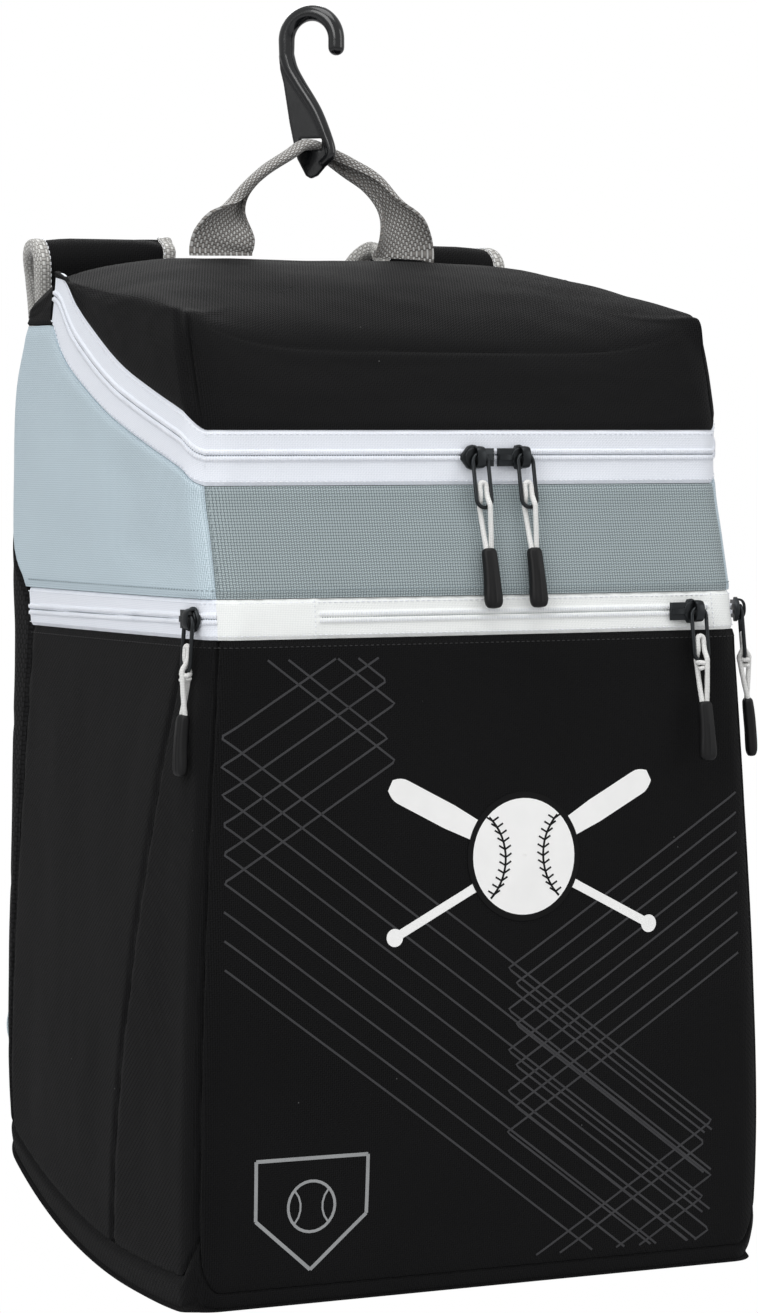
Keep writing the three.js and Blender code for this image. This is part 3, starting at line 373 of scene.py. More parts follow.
# Moulded or cast pieces: a plain colour with fine grain, handling marks in the roughness and light wear.
def mouldedMaterial(name, look):
    made, tree, shader = startMaterial(name)
    place = tree.nodes.new("ShaderNodeTexCoord").outputs["Object"]
    grain = tree.nodes.new("ShaderNodeTexNoise")
    grain.inputs["Scale"].default_value = look["grainScale"]
    grain.inputs["Detail"].default_value = 4.0
    smear = tree.nodes.new("ShaderNodeTexNoise")
    smear.inputs["Scale"].default_value = 60.0
    for node in (grain, smear):
        tree.links.new(place, node.inputs["Vector"])
    tone = mixColor(tree, smear.outputs["Fac"], colour(look["low"]), colour(look["high"]))
    tree.links.new(tone, shader.inputs["Base Color"])
    rough = tree.nodes.new("ShaderNodeMapRange")
    rough.inputs["To Min"].default_value = look["rough"] * 0.75
    rough.inputs["To Max"].default_value = look["rough"] * 1.25
    tree.links.new(smear.outputs["Fac"], rough.inputs["Value"])
    tree.links.new(rough.outputs[0], shader.inputs["Roughness"])
    shader.inputs["Metallic"].default_value = look.get("metal", 0.0)
    shader.inputs["Coat Weight"].default_value = look.get("coat", 0.0)
    shader.inputs["Specular IOR Level"].default_value = look.get("gloss", 0.5)
    addBump(tree, shader, grain.outputs["Fac"], look["bump"], 0.0002)
    return made


mouldedLooks = {
    "hookPlastic": {"low": "0c0d0e", "high": "15171a", "rough": 0.2, "coat": 0.35,
                    "grainScale": 900.0, "bump": 0.08},
    "sliderMetal": {"low": "26282a", "high": "3a3d3f", "rough": 0.38, "grainScale": 1500.0, "bump": 0.1,
                    "metal": 0.85},
    "gripRubber": {"low": "0b0b0c", "high": "181819", "gloss": 0.25, "rough": 0.5,
                   "grainScale": 2200.0, "bump": 0.2},
    "inkTonal": {"low": "363638", "high": "444446", "gloss": 0.12, "rough": 0.6,
                 "grainScale": 1200.0, "bump": 0.15},
    "inkWhite": {"low": "f0f0ef", "high": "fbfbfa", "rough": 0.5, "grainScale": 1200.0, "bump": 0.1},
    "inkGrey": {"low": "8d8f90", "high": "a0a2a3", "rough": 0.4, "grainScale": 1200.0, "bump": 0.1},
    "inkBlack": {"low": "0b0b0b", "high": "151516", "gloss": 0.1, "rough": 0.55,
                 "grainScale": 1200.0, "bump": 0.1},
    "whiteThread": {"low": "e2e6ee", "high": "f7f8fb", "rough": 0.7, "grainScale": 3000.0, "bump": 0.2},
    "coilGrey": {"low": "7d8489", "high": "a9afb4", "rough": 0.5, "grainScale": 3000.0, "bump": 0.2},
    "greyThread": {"low": "6f7d83", "high": "93a1a6", "rough": 0.7, "grainScale": 3000.0, "bump": 0.2},
    "blackThread": {"low": "0c0c0c", "high": "2a2a2b", "rough": 0.6, "grainScale": 3000.0, "bump": 0.2},
}
for mouldedName, mouldedLook in mouldedLooks.items():
    materials[mouldedName] = mouldedMaterial(mouldedName, mouldedLook)
print("materials ready")

# Mesh helpers

seat = np.array((-1.8, 176.0, 663.85))  # the hook's seat in the bag's frame, which is the model's origin


def toModel(points):
    return (np.asarray(points, float) - seat) * 0.001


def signedVolume(points, faces):
    total = 0.0
    for face in faces:
        first = points[face[0]]
        for b, c in zip(face[1:-1], face[2:]):
            total += float(np.dot(first, np.cross(points[b], points[c])))
    return total


# A mesh object from points in the bag's frame. uv is per point in metres. Without it the cloth lies square to
# each face.
def buildPiece(name, points, faces, material, uv=None, sharp=38.0, turn=True):
    placed = toModel(points)
    if turn and signedVolume(placed, faces) < 0:
        faces = [tuple(reversed(face)) for face in faces]
    mesh = bpy.data.meshes.new(name)
    mesh.from_pydata(placed.tolist(), [], faces)
    mesh.update()
    lay = mesh.uv_layers.new(name="lay")
    corners = np.empty(len(mesh.loops), int)
    mesh.loops.foreach_get("vertex_index", corners)
    if uv is None:
        normals = np.empty(len(mesh.polygons) * 3)
        mesh.polygons.foreach_get("normal", normals)
        sizes = np.empty(len(mesh.polygons), int)
        mesh.polygons.foreach_get("loop_total", sizes)
        axis = np.repeat(np.argmax(np.abs(normals.reshape(-1, 3)), axis=1), sizes)
        at = placed[corners]
        axis = axis[:, None]
        flat = np.where(axis == 0, at[:, (1, 2)], np.where(axis == 1, at[:, (0, 2)], at[:, (0, 1)]))
    else:
        flat = np.asarray(uv, float)[corners]
    lay.data.foreach_set("uv", flat.ravel())
    mesh.polygons.foreach_set("use_smooth", np.ones(len(mesh.polygons), bool))
    if sharp:
        mesh.set_sharp_from_angle(angle=math.radians(sharp))
    mesh.materials.append(materials[material])
    piece = bpy.data.objects.new(name, mesh)
    bpy.context.scene.collection.objects.link(piece)
    return piece


def finishPiece(piece, slot, *nodes):
    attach(piece, "root")
    if nodes:
        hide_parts(*nodes)
    return piece


# Faces of a grid of rows and columns. wrap joins its last column to its first.
def gridFaces(rows, columns, start=0, wrap=False, flip=False):
    faces = []
    for j in range(rows - 1):
        for i in range(columns if wrap else columns - 1):
            a = start + j * columns + i
            b = start + j * columns + (i + 1) % columns
            face = (a, b, b + columns, a + columns)
            faces.append(tuple(reversed(face)) if flip else face)
    return faces


# Faces of a sheet with thickness: an outer grid, an inner grid and the four edges between them.
def sheetFaces(rows, columns):
    count = rows * columns
    faces = gridFaces(rows, columns) + gridFaces(rows, columns, count, flip=True)
    loop = list(range(columns))
    loop += [j * columns + columns - 1 for j in range(1, rows)]
    loop += [(rows - 1) * columns + i for i in range(columns - 2, -1, -1)]
    loop += [j * columns for j in range(rows - 2, 0, -1)]
    return faces + [(b, a, a + count, b + count) for a, b in zip(loop, loop[1:] + loop[:1])]


# A piece of cloth with its own thickness from two grids of points.
def buildCloth(name, outer, inner, material, uv=None):
    points = np.concatenate([outer.reshape(-1, 3), inner.reshape(-1, 3)])
    flat = None if uv is None else np.concatenate([uv.reshape(-1, 2)] * 2)
    return buildPiece(name, points, sheetFaces(*outer.shape[:2]), material, flat)


# A closed tube, or any lofted form, through rings of points.
def buildLoft(name, rings, material, uv=None, sharp=38.0):
    rings = np.asarray(rings)
    count, sides = rings.shape[:2]
    faces = gridFaces(count, sides, wrap=True)
    faces.append(tuple(reversed(range(sides))))
    faces.append(tuple(range((count - 1) * sides, count * sides)))
    return buildPiece(name, rings.reshape(-1, 3), faces, material, uv, sharp)


def smoothRows(rows, count):
    rows = np.asarray(rows, float)
    at = np.linspace(0, len(rows) - 1, count)
    return np.stack([tableCurve(np.column_stack([np.arange(len(rows)), rows]), k + 1, at)
                     for k in range(rows.shape[1])], axis=-1)


# A column of a table at places along its first column, on a smooth curve through its rows.
def tableCurve(rows, column, at):
    rows = np.asarray(rows, float)
    keys, values = rows[:, 0], rows[:, column]
    last = len(keys) - 1
    at = np.asarray(at, float)
    i = np.clip(np.searchsorted(keys[1:], at, side="left"), 0, last - 1)
    span = keys[i + 1] - keys[i]
    t = np.clip((at - keys[i]) / span, 0, 1)
    before, after = np.maximum(np.arange(last + 1) - 1, 0), np.minimum(np.arange(last + 1) + 1, last)
    slopes = (values[after] - values[before]) / (keys[after] - keys[before])
    return (
        values[i] * (2 * t**3 - 3 * t**2 + 1)
        + slopes[i] * span * (t**3 - 2 * t**2 + t)
        + values[i + 1] * (3 * t**2 - 2 * t**3)
        + slopes[i + 1] * span * (t**3 - t**2)
    )


# Smooth random relief between 0 and 1. x and y are counted in waves.
def softNoise(x, y, seed):
    lattice = np.random.RandomState(seed).rand(64, 64)
    x, y = np.asarray(x) + 17.3, np.asarray(y) + 9.1
    i, j = np.floor(x).astype(int), np.floor(y).astype(int)
    a, b = x - i, y - j
    a, b = a * a * (3 - 2 * a), b * b * (3 - 2 * b)
    pick = lambda m, n: lattice[(i + m) % 64, (j + n) % 64]
    low = pick(0, 0) * (1 - a) + pick(1, 0) * a
    high = pick(0, 1) * (1 - a) + pick(1, 1) * a
    return low * (1 - b) + high * b


# The shell of the bag

shell = {
    "halfTop": 155.5, "halfBase": 169.0, "depth": 240.0, "reach": 22.0, "swell": 5.0, "corner": 17.0,
    "wall": 1.6, "gap": 0.3, "zipLow": 336.0, "zipLowWidth": 20.5, "zipMain": 413.0, "zipMainWidth": 28.0,
    "zipRise": 84.0, "zipEnd": 0.78, "baseRise": 64.0, "baseRound": 13.0, "foot": 6.0, "frontEdge": 9.0,
    "frontRound": 27.0, "gussetTop": 0.13, "gussetBack": 0.43, "pad": 9.0, "cornerShare": 0.09,
    "seamReach": 2.2, "flatMargin": 25.0,
    # height, spread, reach, swell, deep
    "sections": (
        (0.0, 0.9, 0.74, 0.1, 0.87), (0.05, 0.97, 0.9, 0.4, 0.88), (0.2, 1.0, 1.0, 0.8, 0.918),
        (0.4, 0.82, 0.97, 1.0, 0.932), (0.62, 0.45, 0.89, 0.8, 0.955), (0.8, 0.1, 0.82, 0.5, 0.983),
        (0.87, 0.03, 0.62, 0.7, 1.0), (0.93, 0.0, 0.34, 0.9, 1.018), (1.0, 0.0, 0.0, 1.0, 1.015),
        (1.12, 0.03, 0.0, 0.8, 0.995), (1.21, 0.02, 0.0, 0.6, 0.93), (1.4, 0.0, 0.0, 0.4, 0.86),
    ),
    "backWrap": (
        (0.0, 0.08), (0.24, 0.08), (0.46, 0.1), (0.73, 0.135), (0.83, 0.145), (0.865, 0.12), (0.93, 0.035),
        (0.96, 0.02), (1.4, 0.02),
    ),
    "baseProfile": (
        (-0.1, 0.0), (0.0, -0.03), (0.15, -0.01), (0.32, 0.055), (0.475, 0.18), (0.65, 0.4), (0.81, 0.69),
        (0.93, 1.0),
    ),
    "zipProfile": (
        (0.0, 0.0), (0.06, 0.03), (0.16, 0.125), (0.34, 0.265), (0.53, 0.42), (0.73, 0.625), (0.89, 0.81),
        (1.0, 1.0),
    ),
}


# A point of the bag's outer face. along runs 0 to 1 over the left side from the back corner, 1 to 2 over the
# front, 2 to 3 over the right side and 3 to 4 over the back.
def shellPoint(along, z, depth=0.0):
    along, z, depth = np.broadcast_arrays(*(np.asarray(value, float) for value in (along, z, depth)))
    at = z / shell["zipMain"]
    read = lambda column: tableCurve(shell["sections"], column, at)
    half = shell["halfTop"] + (shell["halfBase"] - shell["halfTop"]) * read(1) - depth
    front = -shell["reach"] * read(2) + depth
    back = shell["depth"] * read(4) - depth
    radius = shell["corner"] - depth
    turned = np.mod(along, 4)
    side = np.floor(turned).astype(int)
    share = turned - side
    bow = np.where(side == 3, 0.0, np.sin(np.pi * share) * shell["swell"] * read(3))
    cornerX = np.stack([-half, -half, half, half])
    cornerY = np.stack([back, front, front, back])
    take = lambda table, k: np.take_along_axis(table, (k % 4)[None], axis=0)[0]
    fromX, fromY = take(cornerX, side), take(cornerY, side)
    toX, toY = take(cornerX, side + 1), take(cornerY, side + 1)
    length = np.hypot(toX - fromX, toY - fromY)
    goX, goY = (toX - fromX) / length, (toY - fromY) / length
    outX = np.choose(side, [-1.0, 0.0, 1.0, 0.0])
    outY = np.choose(side, [0.0, -1.0, 0.0, 1.0])
    near = np.minimum(share, 1 - share)
    part = shell["cornerShare"]
    run = radius + (length - 2 * radius) * (near - part) / (1 - 2 * part)
    angle = np.pi / 4 * (1 - near / part)
    inCorner = near < part
    run = np.where(inCorner, radius * (1 - np.sin(angle)), run)
    sink = np.where(inCorner, radius * (1 - np.cos(angle)), 0.0)
    run = np.where(share > 0.5, length - run, run)
    off = bow - sink
    return np.stack([fromX + goX * run + outX * off, fromY + goY * run + outY * off, z], axis=-1)


def baseEdge(y):
    return shell["baseRise"] * tableCurve(shell["baseProfile"], 1, np.asarray(y) / shell["depth"])


def fromFront(along):
    return np.where(along < 1.5, 1 - along, along - 2)


def zipEdge(along):
    run = fromFront(along) / shell["zipEnd"]
    return shell["zipMain"] + shell["zipRise"] * tableCurve(shell["zipProfile"], 1, run)


# The main zip's tape, v from its lower to its upper edge, square to the way that it runs.
def tapePlace(along, v):
    away = fromFront(along)
    way = np.where(away > 0, np.where(along < 1.5, -1.0, 1.0), 0.0)
    slope = (zipEdge(along + way * 0.01) - zipEdge(along)) / (0.01 * shell["depth"])
    angle = np.arctan(slope)
    width = shell["zipMainWidth"]
    back = way * np.sin(angle) * width * v / shell["depth"]
    return along - back, zipEdge(along) + np.cos(angle) * width * v


def gussetSeam(z):
    down = np.maximum(0, (shell["zipLow"] - z) / shell["zipLow"])
    return 1 - shell["gussetTop"] - (shell["gussetBack"] - shell["gussetTop"]) * down**0.8


def backSeam(z):
    return tableCurve(shell["backWrap"], 1, np.asarray(z) / shell["zipMain"])


def shellFoot(along):
    turned = np.mod(along, 4)
    y = shellPoint(turned, shell["baseRise"] / 2)[..., 1]
    side = baseEdge(y) + shell["baseRound"] + shell["foot"]
    reach = shell["frontRound"]
    into = np.clip(1 - np.minimum(turned - 1, 2 - turned) * 2 * shell["halfBase"] / reach, 0, 1)
    front = shell["frontEdge"] + reach * (1 - np.sqrt(1 - into**2))
    near = np.clip(1 - fromFront(turned) * shell["depth"] / (reach * 0.6), 0, 1)
    flank = side + (shell["frontEdge"] + reach - side) * near
    return np.where(turned > 3, side, np.where((turned >= 1) & (turned <= 2), front, flank))


halfGap = shell["gap"] / 2 / shell["depth"]
lowTop = shell["zipLow"] + shell["zipLowWidth"]


# Shares from 0 to 1 that crowd towards both ends, for a panel of this length in millimetres.
def crowded(length, step=4.0, edge=9.0):
    inner = np.arange(edge, length - edge, step)
    fine = np.array([0, 0.5, 1.0, 1.6, 2.3, 3.1, 4.2, 5.6, 7.2])
    places = np.concatenate([fine, inner, length - fine[::-1]])
    return places / length


# A panel between two edges each way, drawn in along its seams, with shallow hollows between them.
def shellPanel(name, edges, look, node, slot):
    columns, rows = crowded(look["across"]), crowded(look["up"])
    u, v = np.meshgrid(columns, rows)
    z = np.full_like(u, edges["start"])
    for _ in range(12):
        place = edges["from"](z) + (edges["to"](z) - edges["from"](z)) * u
        z = edges["low"](place) + (edges["high"](place) - edges["low"](place)) * v
    toSides = np.minimum(u, 1 - u) * look["across"]
    toEnds = np.minimum(v, 1 - v) * look["up"]
    pinch = 1 + 0.35 * np.sin(z / 5.3 + 1.7 * np.sin(z / 23.0)) * np.sin(place * 170.0)
    near = lambda away: np.exp(-((away / shell["seamReach"]) ** 2))
    drawn = look["seam"] * (near(toSides) + 0.7 * near(toEnds))
    inside = np.clip(np.minimum(toSides, toEnds) / shell["flatMargin"], 0, 1)
    waves = softNoise(place * look["waves"][0], z / look["waves"][1], look["seed"])
    ripple = softNoise(place * 26.0, z / 24.0, look["seed"] + 5)
    hollow = (look["hollow"] * waves + 0.35 * ripple) * inside
    depth = drawn * pinch + hollow
    outer = shellPoint(place, z, depth)
    inner = shellPoint(place, z, depth + shell["wall"])
    if "pad" in look:
        raised = look["pad"](u, v)
        outer[..., 1] += raised
    return finishPiece(buildCloth(name, outer, inner, look["cloth"]), slot, node)


def sidePanels():
    top = lambda a: np.full_like(a, shell["zipLow"] - shell["gap"] / 2)
    foot = lambda a: shellFoot(a) + shell["gap"] / 2
    bandTop = lambda a: np.full_like(a, lowTop + shell["gap"] / 2)
    underZip = lambda a: zipEdge(a) - shell["gap"]
    for name, flip in (("left", False), ("right", True)):
        place = (lambda a: 3 - a) if flip else (lambda a: a)
        back = lambda z, place=place: place(backSeam(z) + halfGap)
        gussetBack = lambda z, place=place: place(gussetSeam(z) - halfGap)
        gussetFront = lambda z, place=place: place(gussetSeam(z) + halfGap)
        corner = lambda z, place=place: place(1 - halfGap + 0 * z)
        seed = 40 if flip else 10
        shellPanel("sidePanel_" + name,
                   {"from": back, "to": gussetBack, "low": foot, "high": top, "start": 180.0},
                   {"across": 130.0, "up": 300.0, "seam": 1.5, "hollow": 2.2, "waves": (6.0, 95.0),
                    "seed": seed, "cloth": "blackTwill"}, "side_panel_" + name, "black_cloth")
        shellPanel("pocketGusset_" + name,
                   {"from": gussetFront, "to": corner, "low": foot, "high": top, "start": 180.0},
                   {"across": 75.0, "up": 310.0, "seam": 1.5, "hollow": 1.8, "waves": (9.0, 80.0),
                    "seed": seed + 1, "cloth": "blackTwill"}, "pocket_gusset_" + name, "black_cloth")
        # The upper sides wear the grey cloth's copy with painted light.
        shellPanel("upperSide_" + name,
                   {"from": back, "to": corner, "low": bandTop, "high": underZip, "start": 370.0},
                   {"across": 235.0, "up": 90.0, "seam": 1.2, "hollow": 2.0, "waves": (7.0, 60.0),
                    "seed": seed + 2, "cloth": "greyClothPaintedLit"}, "upper_side_" + name, "grey_cloth")
    ahead = {"from": lambda z: 1 + halfGap + 0 * z, "to": lambda z: 2 - halfGap + 0 * z}
    shellPanel("frontPanel", {**ahead, "low": foot, "high": top, "start": 180.0},
               {"across": 330.0, "up": 320.0, "seam": 1.5, "hollow": 1.6, "waves": (5.0, 110.0), "seed": 71,
                "cloth": "blackTwill"}, "front_panel", "black_cloth")
    # The upper front wears the grey cloth's copy with painted shade.
    shellPanel("upperFront", {**ahead, "low": bandTop, "high": underZip, "start": 370.0},
               {"across": 310.0, "up": 56.0, "seam": 1.2, "hollow": 1.0, "waves": (6.0, 50.0), "seed": 73,
                "cloth": "greyClothPaintedShade"}, "upper_front", "grey_cloth")


sidePanels()
print("walls ready")

# Back panel

quilting = {"channel": 3.2, "channelHalf": 0.018, "row": 1.6, "rowHalf": 0.05, "rows": 5.0}


# How far the padding stands out, at shares across and up the back.
def backPadding(across, up):
    return shell["pad"] * (1 - (2 * across - 1) ** 6) * (1 - (2 * up - 1) ** 8)


def quilted(u, v):
    fromMiddle = np.exp(-(((u - 0.5) / quilting["channelHalf"]) ** 2))
    channel = quilting["channel"] * fromMiddle * np.clip(1.2 - np.abs(2 * v - 1) * 1.1, 0, 1)
    fromRow = np.exp(-((np.mod(v * quilting["rows"], 1.0) - 0.5) / quilting["rowHalf"]) ** 2)
    return backPadding(u, v) - channel - quilting["row"] * fromRow * np.clip(1 - (2 * u - 1) ** 8, 0, 1)


def backPanel():
    top = shell["zipMain"] + shell["zipRise"] - shell["gap"] / 2
    piece = shellPanel(
        "backPanel",
        {"from": lambda z: 3 - backSeam(z) + halfGap, "to": lambda z: 4 + backSeam(z) - halfGap,
         "low": lambda a: shellFoot(a) + shell["gap"] / 2,
         "high": lambda a: np.full_like(a, top), "start": 250.0},
        {"across": 360.0, "up": 420.0, "seam": 1.5, "hollow": 1.2, "waves": (8.0, 70.0), "seed": 91,
         "cloth": "backMesh", "pad": quilted},
        "back_panel", "black_cloth")


backPanel()

# Zips

zips = {
    "ridge": 3.1, "ridgeHeight": 0.75, "split": 0.42, "sunk": 0.7, "edge": 1.0,
    "mainSplit": 0.54, "frontSplit": 0.53,
    "wall": 1.2, "uneven": 0.25, "step": 0.62, "perSide": 250, "toothSpacing": 1.45, "toothOff": 1.75,
    "tooth": (0.85, 2.3, 0.35), "coil": (1.15, 0.75, 0.45), "stitch": (2.3, 0.55, 0.5), "stitchSpacing": 3.1,
    "stitchIn": 1.9, "tabs": ((0.99, 1.215), (1.895, 2.01)), "tabSeams": {"tabLeft": 1.208, "tabRight": 1.901},
}
runs = []  # rows of stitches and coil teeth, made together further on


def addRun(name, points, facing, spacing, size, material, slot):
    runs.append({"name": name, "points": points, "facing": facing, "spacing": spacing, "size": size,
                 "material": material, "slot": slot})


# How far a zip's surface lies under the bag's face, at a distance from its split line and from its edges.
def zipDepth(fromSplit, fromEdge, plain=0.0):
    off = np.abs(fromSplit)
    ridge = zips["ridgeHeight"] * np.clip((zips["ridge"] - off) / 0.8, 0, 1) ** 0.7
    groove = 1.1 * np.exp(-((off / zips["split"]) ** 2))
    edge = zips["edge"] * np.exp(-((fromEdge / 1.3) ** 2))
    return zips["sunk"] + edge + (groove - ridge) * (1 - plain) - 0.45 * plain


def outwards(points):
    ahead = np.gradient(points, axis=0)
    out = np.stack([ahead[:, 1], -ahead[:, 0], np.zeros(len(points))], axis=1)
    return out / np.maximum(np.linalg.norm(out, axis=1, keepdims=True), 1e-9)


def lengths(points):
    steps = np.linalg.norm(np.diff(points, axis=0), axis=1)
    return np.concatenate([[0], np.cumsum(steps)])


# A zip from place(along, v), which gives where it lies; tabs are the spans covered by a plain folded end.
def buildZip(name, node, ends, place, width, split, cloth, tabs=()):
    along = np.linspace(ends[0], ends[1], int(abs(ends[1] - ends[0]) * zips["perSide"]) + 2)
    across = np.linspace(0, 1, int(width / zips["step"]) + 2)
    u, v = np.meshgrid(along, across)
    at, z = place(u, v)
    plain = np.zeros_like(u)
    for start, end in tabs:
        plain = np.maximum(plain, np.clip(1 + np.minimum(u - start, end - u) / 0.002, 0, 1))
    fromSplit = (v - split(u)) * width
    fromEdge = np.minimum(v, 1 - v) * width
    depth = zipDepth(fromSplit, fromEdge, plain) + zips["uneven"] * softNoise(u * 30, v * 3, 7)
    outer, inner = shellPoint(at, z, depth), shellPoint(at, z, depth + zips["wall"])
    run = lengths(outer[len(across) // 2]) * 0.001
    uv = np.stack([np.broadcast_to(run, u.shape), v * width * 0.001], axis=-1)
    finishPiece(buildCloth(name, outer, inner, cloth, uv), "zip_tape", node)
    line = lambda share, lift: shellPoint(*place(along, share), lift)
    bare = np.ones(len(along), bool)
    for start, end in tabs:
        bare &= ~((along > start) & (along < end))
    middle = split(along)
    for side in (-1, 1):
        teeth = line(middle + side * zips["toothOff"] / width, zips["sunk"] - zips["ridgeHeight"] - 0.02)
        addRun(f"{name}_teeth{'Low' if side < 0 else 'High'}", teeth[bare], outwards(teeth)[bare],
               zips["toothSpacing"], zips["tooth"], "whiteThread", "zip_tape")
    coil = line(middle, zips["sunk"] + 0.1)
    addRun(name + "_coil", coil[bare], outwards(coil)[bare], zips["toothSpacing"], zips["coil"], "coilGrey",
           "zip_tape")
    inset = zips["stitchIn"] / width
    for share in (inset, 1 - inset):
        stitches = line(np.full_like(along, share), zips["sunk"] - 0.1)
        addRun(f"{name}_stitches{'Low' if share < 0.5 else 'High'}", stitches, outwards(stitches),
               zips["stitchSpacing"], zips["stitch"], "whiteThread", "zip_tape")


def addZips():
    low, high = shell["zipLow"] + shell["gap"] / 2, lowTop - shell["gap"] / 2
    band = lambda a, v: (a, low + (high - low) * v)
    end = shell["zipEnd"]
    buildZip("mainZip", "main_zip", (1 - end, 2 + end), tapePlace, shell["zipMainWidth"],
             lambda a: np.full_like(a, zips["mainSplit"]), "zipTapeWhite")
    backEnd = float(backSeam(346.0)) + halfGap
    width = high - low
    buildZip("lowerZip_left", "lower_zip_left", (backEnd, 1 - halfGap), band, width,
             lambda a: 0.4 + 0.12 * a, "zipTapeWhite")
    buildZip("lowerZip_right", "lower_zip_right", (2 + halfGap, 3 - backEnd), band, width,
             lambda a: 0.52 - 0.12 * (a - 2), "zipTapeWhite")
    buildZip("lowerZip_front", "lower_zip_front", (1 + halfGap, 2 - halfGap), band, width,
             lambda a: np.full_like(a, zips["frontSplit"]), "zipTapeWarm", zips["tabs"])
    for name, a in zips["tabSeams"].items():
        z = np.linspace(low + 1.2, high - 1.2, 30)
        line = shellPoint(np.full_like(z, a), z, zips["sunk"] - 0.5)
        facing = np.tile(outwards(shellPoint(np.linspace(a - 0.01, a + 0.01, 5), 346.0))[2], (30, 1))
        addRun("stitches_" + name, line, facing, 2.4, (1.7, 0.5, 0.45), "whiteThread", "zip_tape")
    # Rows of stitches along the cloth beside the zips
    spans = {"left": (backEnd + 0.01, 0.992), "front": (1.006, 1.994), "right": (2.008, 2.99 - backEnd)}
    rows = (("above", lowTop + 4.3, 0.15, "greyThread", "grey_cloth"),
            ("below", shell["zipLow"] - 3.6, 0.3, "blackThread", "black_cloth"))
    for side, (start, stop) in spans.items():
        a = np.linspace(start, stop, 260)
        for label, z, sink, thread, slot in rows:
            line = shellPoint(a, np.full_like(a, z), sink)
            addRun(f"stitches_{label}_{side}", line, outwards(line), 3.0, (2.3, 0.6, 0.6), thread, slot)


addZips()
print("zips ready")

# Lid and base

lid = {
    "back": 535.0, "front": 484.0, "corner": 508.0, "shoulder": 521.0, "lean": 22.0, "leanReach": 0.35,
    "crest": 0.74, "ear": 4.0, "earUp": 1.0, "dart": 1.6,
    # ring, grow, lift
    "rings": ((0, 1.0, 0.0), (1, 1.006, 0.45), (2, 0.996, 0.8), (3, 0.96, 0.96), (4, 0.86, 1.0), (5, 0.6, 1.0),
              (6, 0.3, 1.0), (7, 0.02, 1.0)),
}


def lidSurface(x, y):
    back = np.clip((y - lid["lean"]) / (shell["depth"] * lid["crest"] - lid["lean"]), 0, 1)
    out = np.minimum(1, np.abs(x) / shell["halfTop"])
    middle = lid["front"] + (lid["back"] - lid["front"]) * np.sin(back * np.pi / 2) ** 0.7
    edge = lid["corner"] + (lid["shoulder"] - lid["corner"]) * back
    return middle + (edge - middle) * out**5 - np.maximum(0, y - shell["depth"] * lid["crest"]) * 0.4


# A shell closed at its middle, from its outer and inner layers of rings.
def buildBowl(name, layers, node):
    rows, columns = layers[0].shape[:2]
    count = rows * columns
    faces = gridFaces(rows, columns, wrap=True) + gridFaces(rows, columns, count, wrap=True, flip=True)
    following = [(i + 1) % columns for i in range(columns)]
    faces += [(b, a, a + count, b + count) for a, b in enumerate(following)]
    middles = [layer[-1].mean(axis=0) for layer in layers]
    points = np.concatenate([layers[0].reshape(-1, 3), layers[1].reshape(-1, 3), middles])
    for layer in (0, 1):
        start = layer * count + (rows - 1) * columns
        for i, b in enumerate(following):
            face = (start + i, start + b, 2 * count + layer)
            faces.append(face if layer == 0 else tuple(reversed(face)))
    return finishPiece(buildPiece(name, points, faces, "blackTwill"), "black_cloth", node)


def lidRim():
    end = shell["zipEnd"]
    along = np.linspace(1 - end, 2 + end, 420)
    at, z = tapePlace(along, 1.0)
    z = z + shell["gap"]
    gap = 2 * shell["gap"] / shell["depth"]
    behind = shell["zipMain"] + shell["zipRise"] + shell["gap"]
    after = np.linspace(2 + end + gap, 4 + (1 - end) - gap, 200)
    places = np.concatenate([at, [at[-1] + gap], after, [at[0] - gap]])
    heights = np.concatenate([z, [z[0] - shell["gap"]], np.full(len(after), behind), [z[0] - shell["gap"]]])
    return places, heights


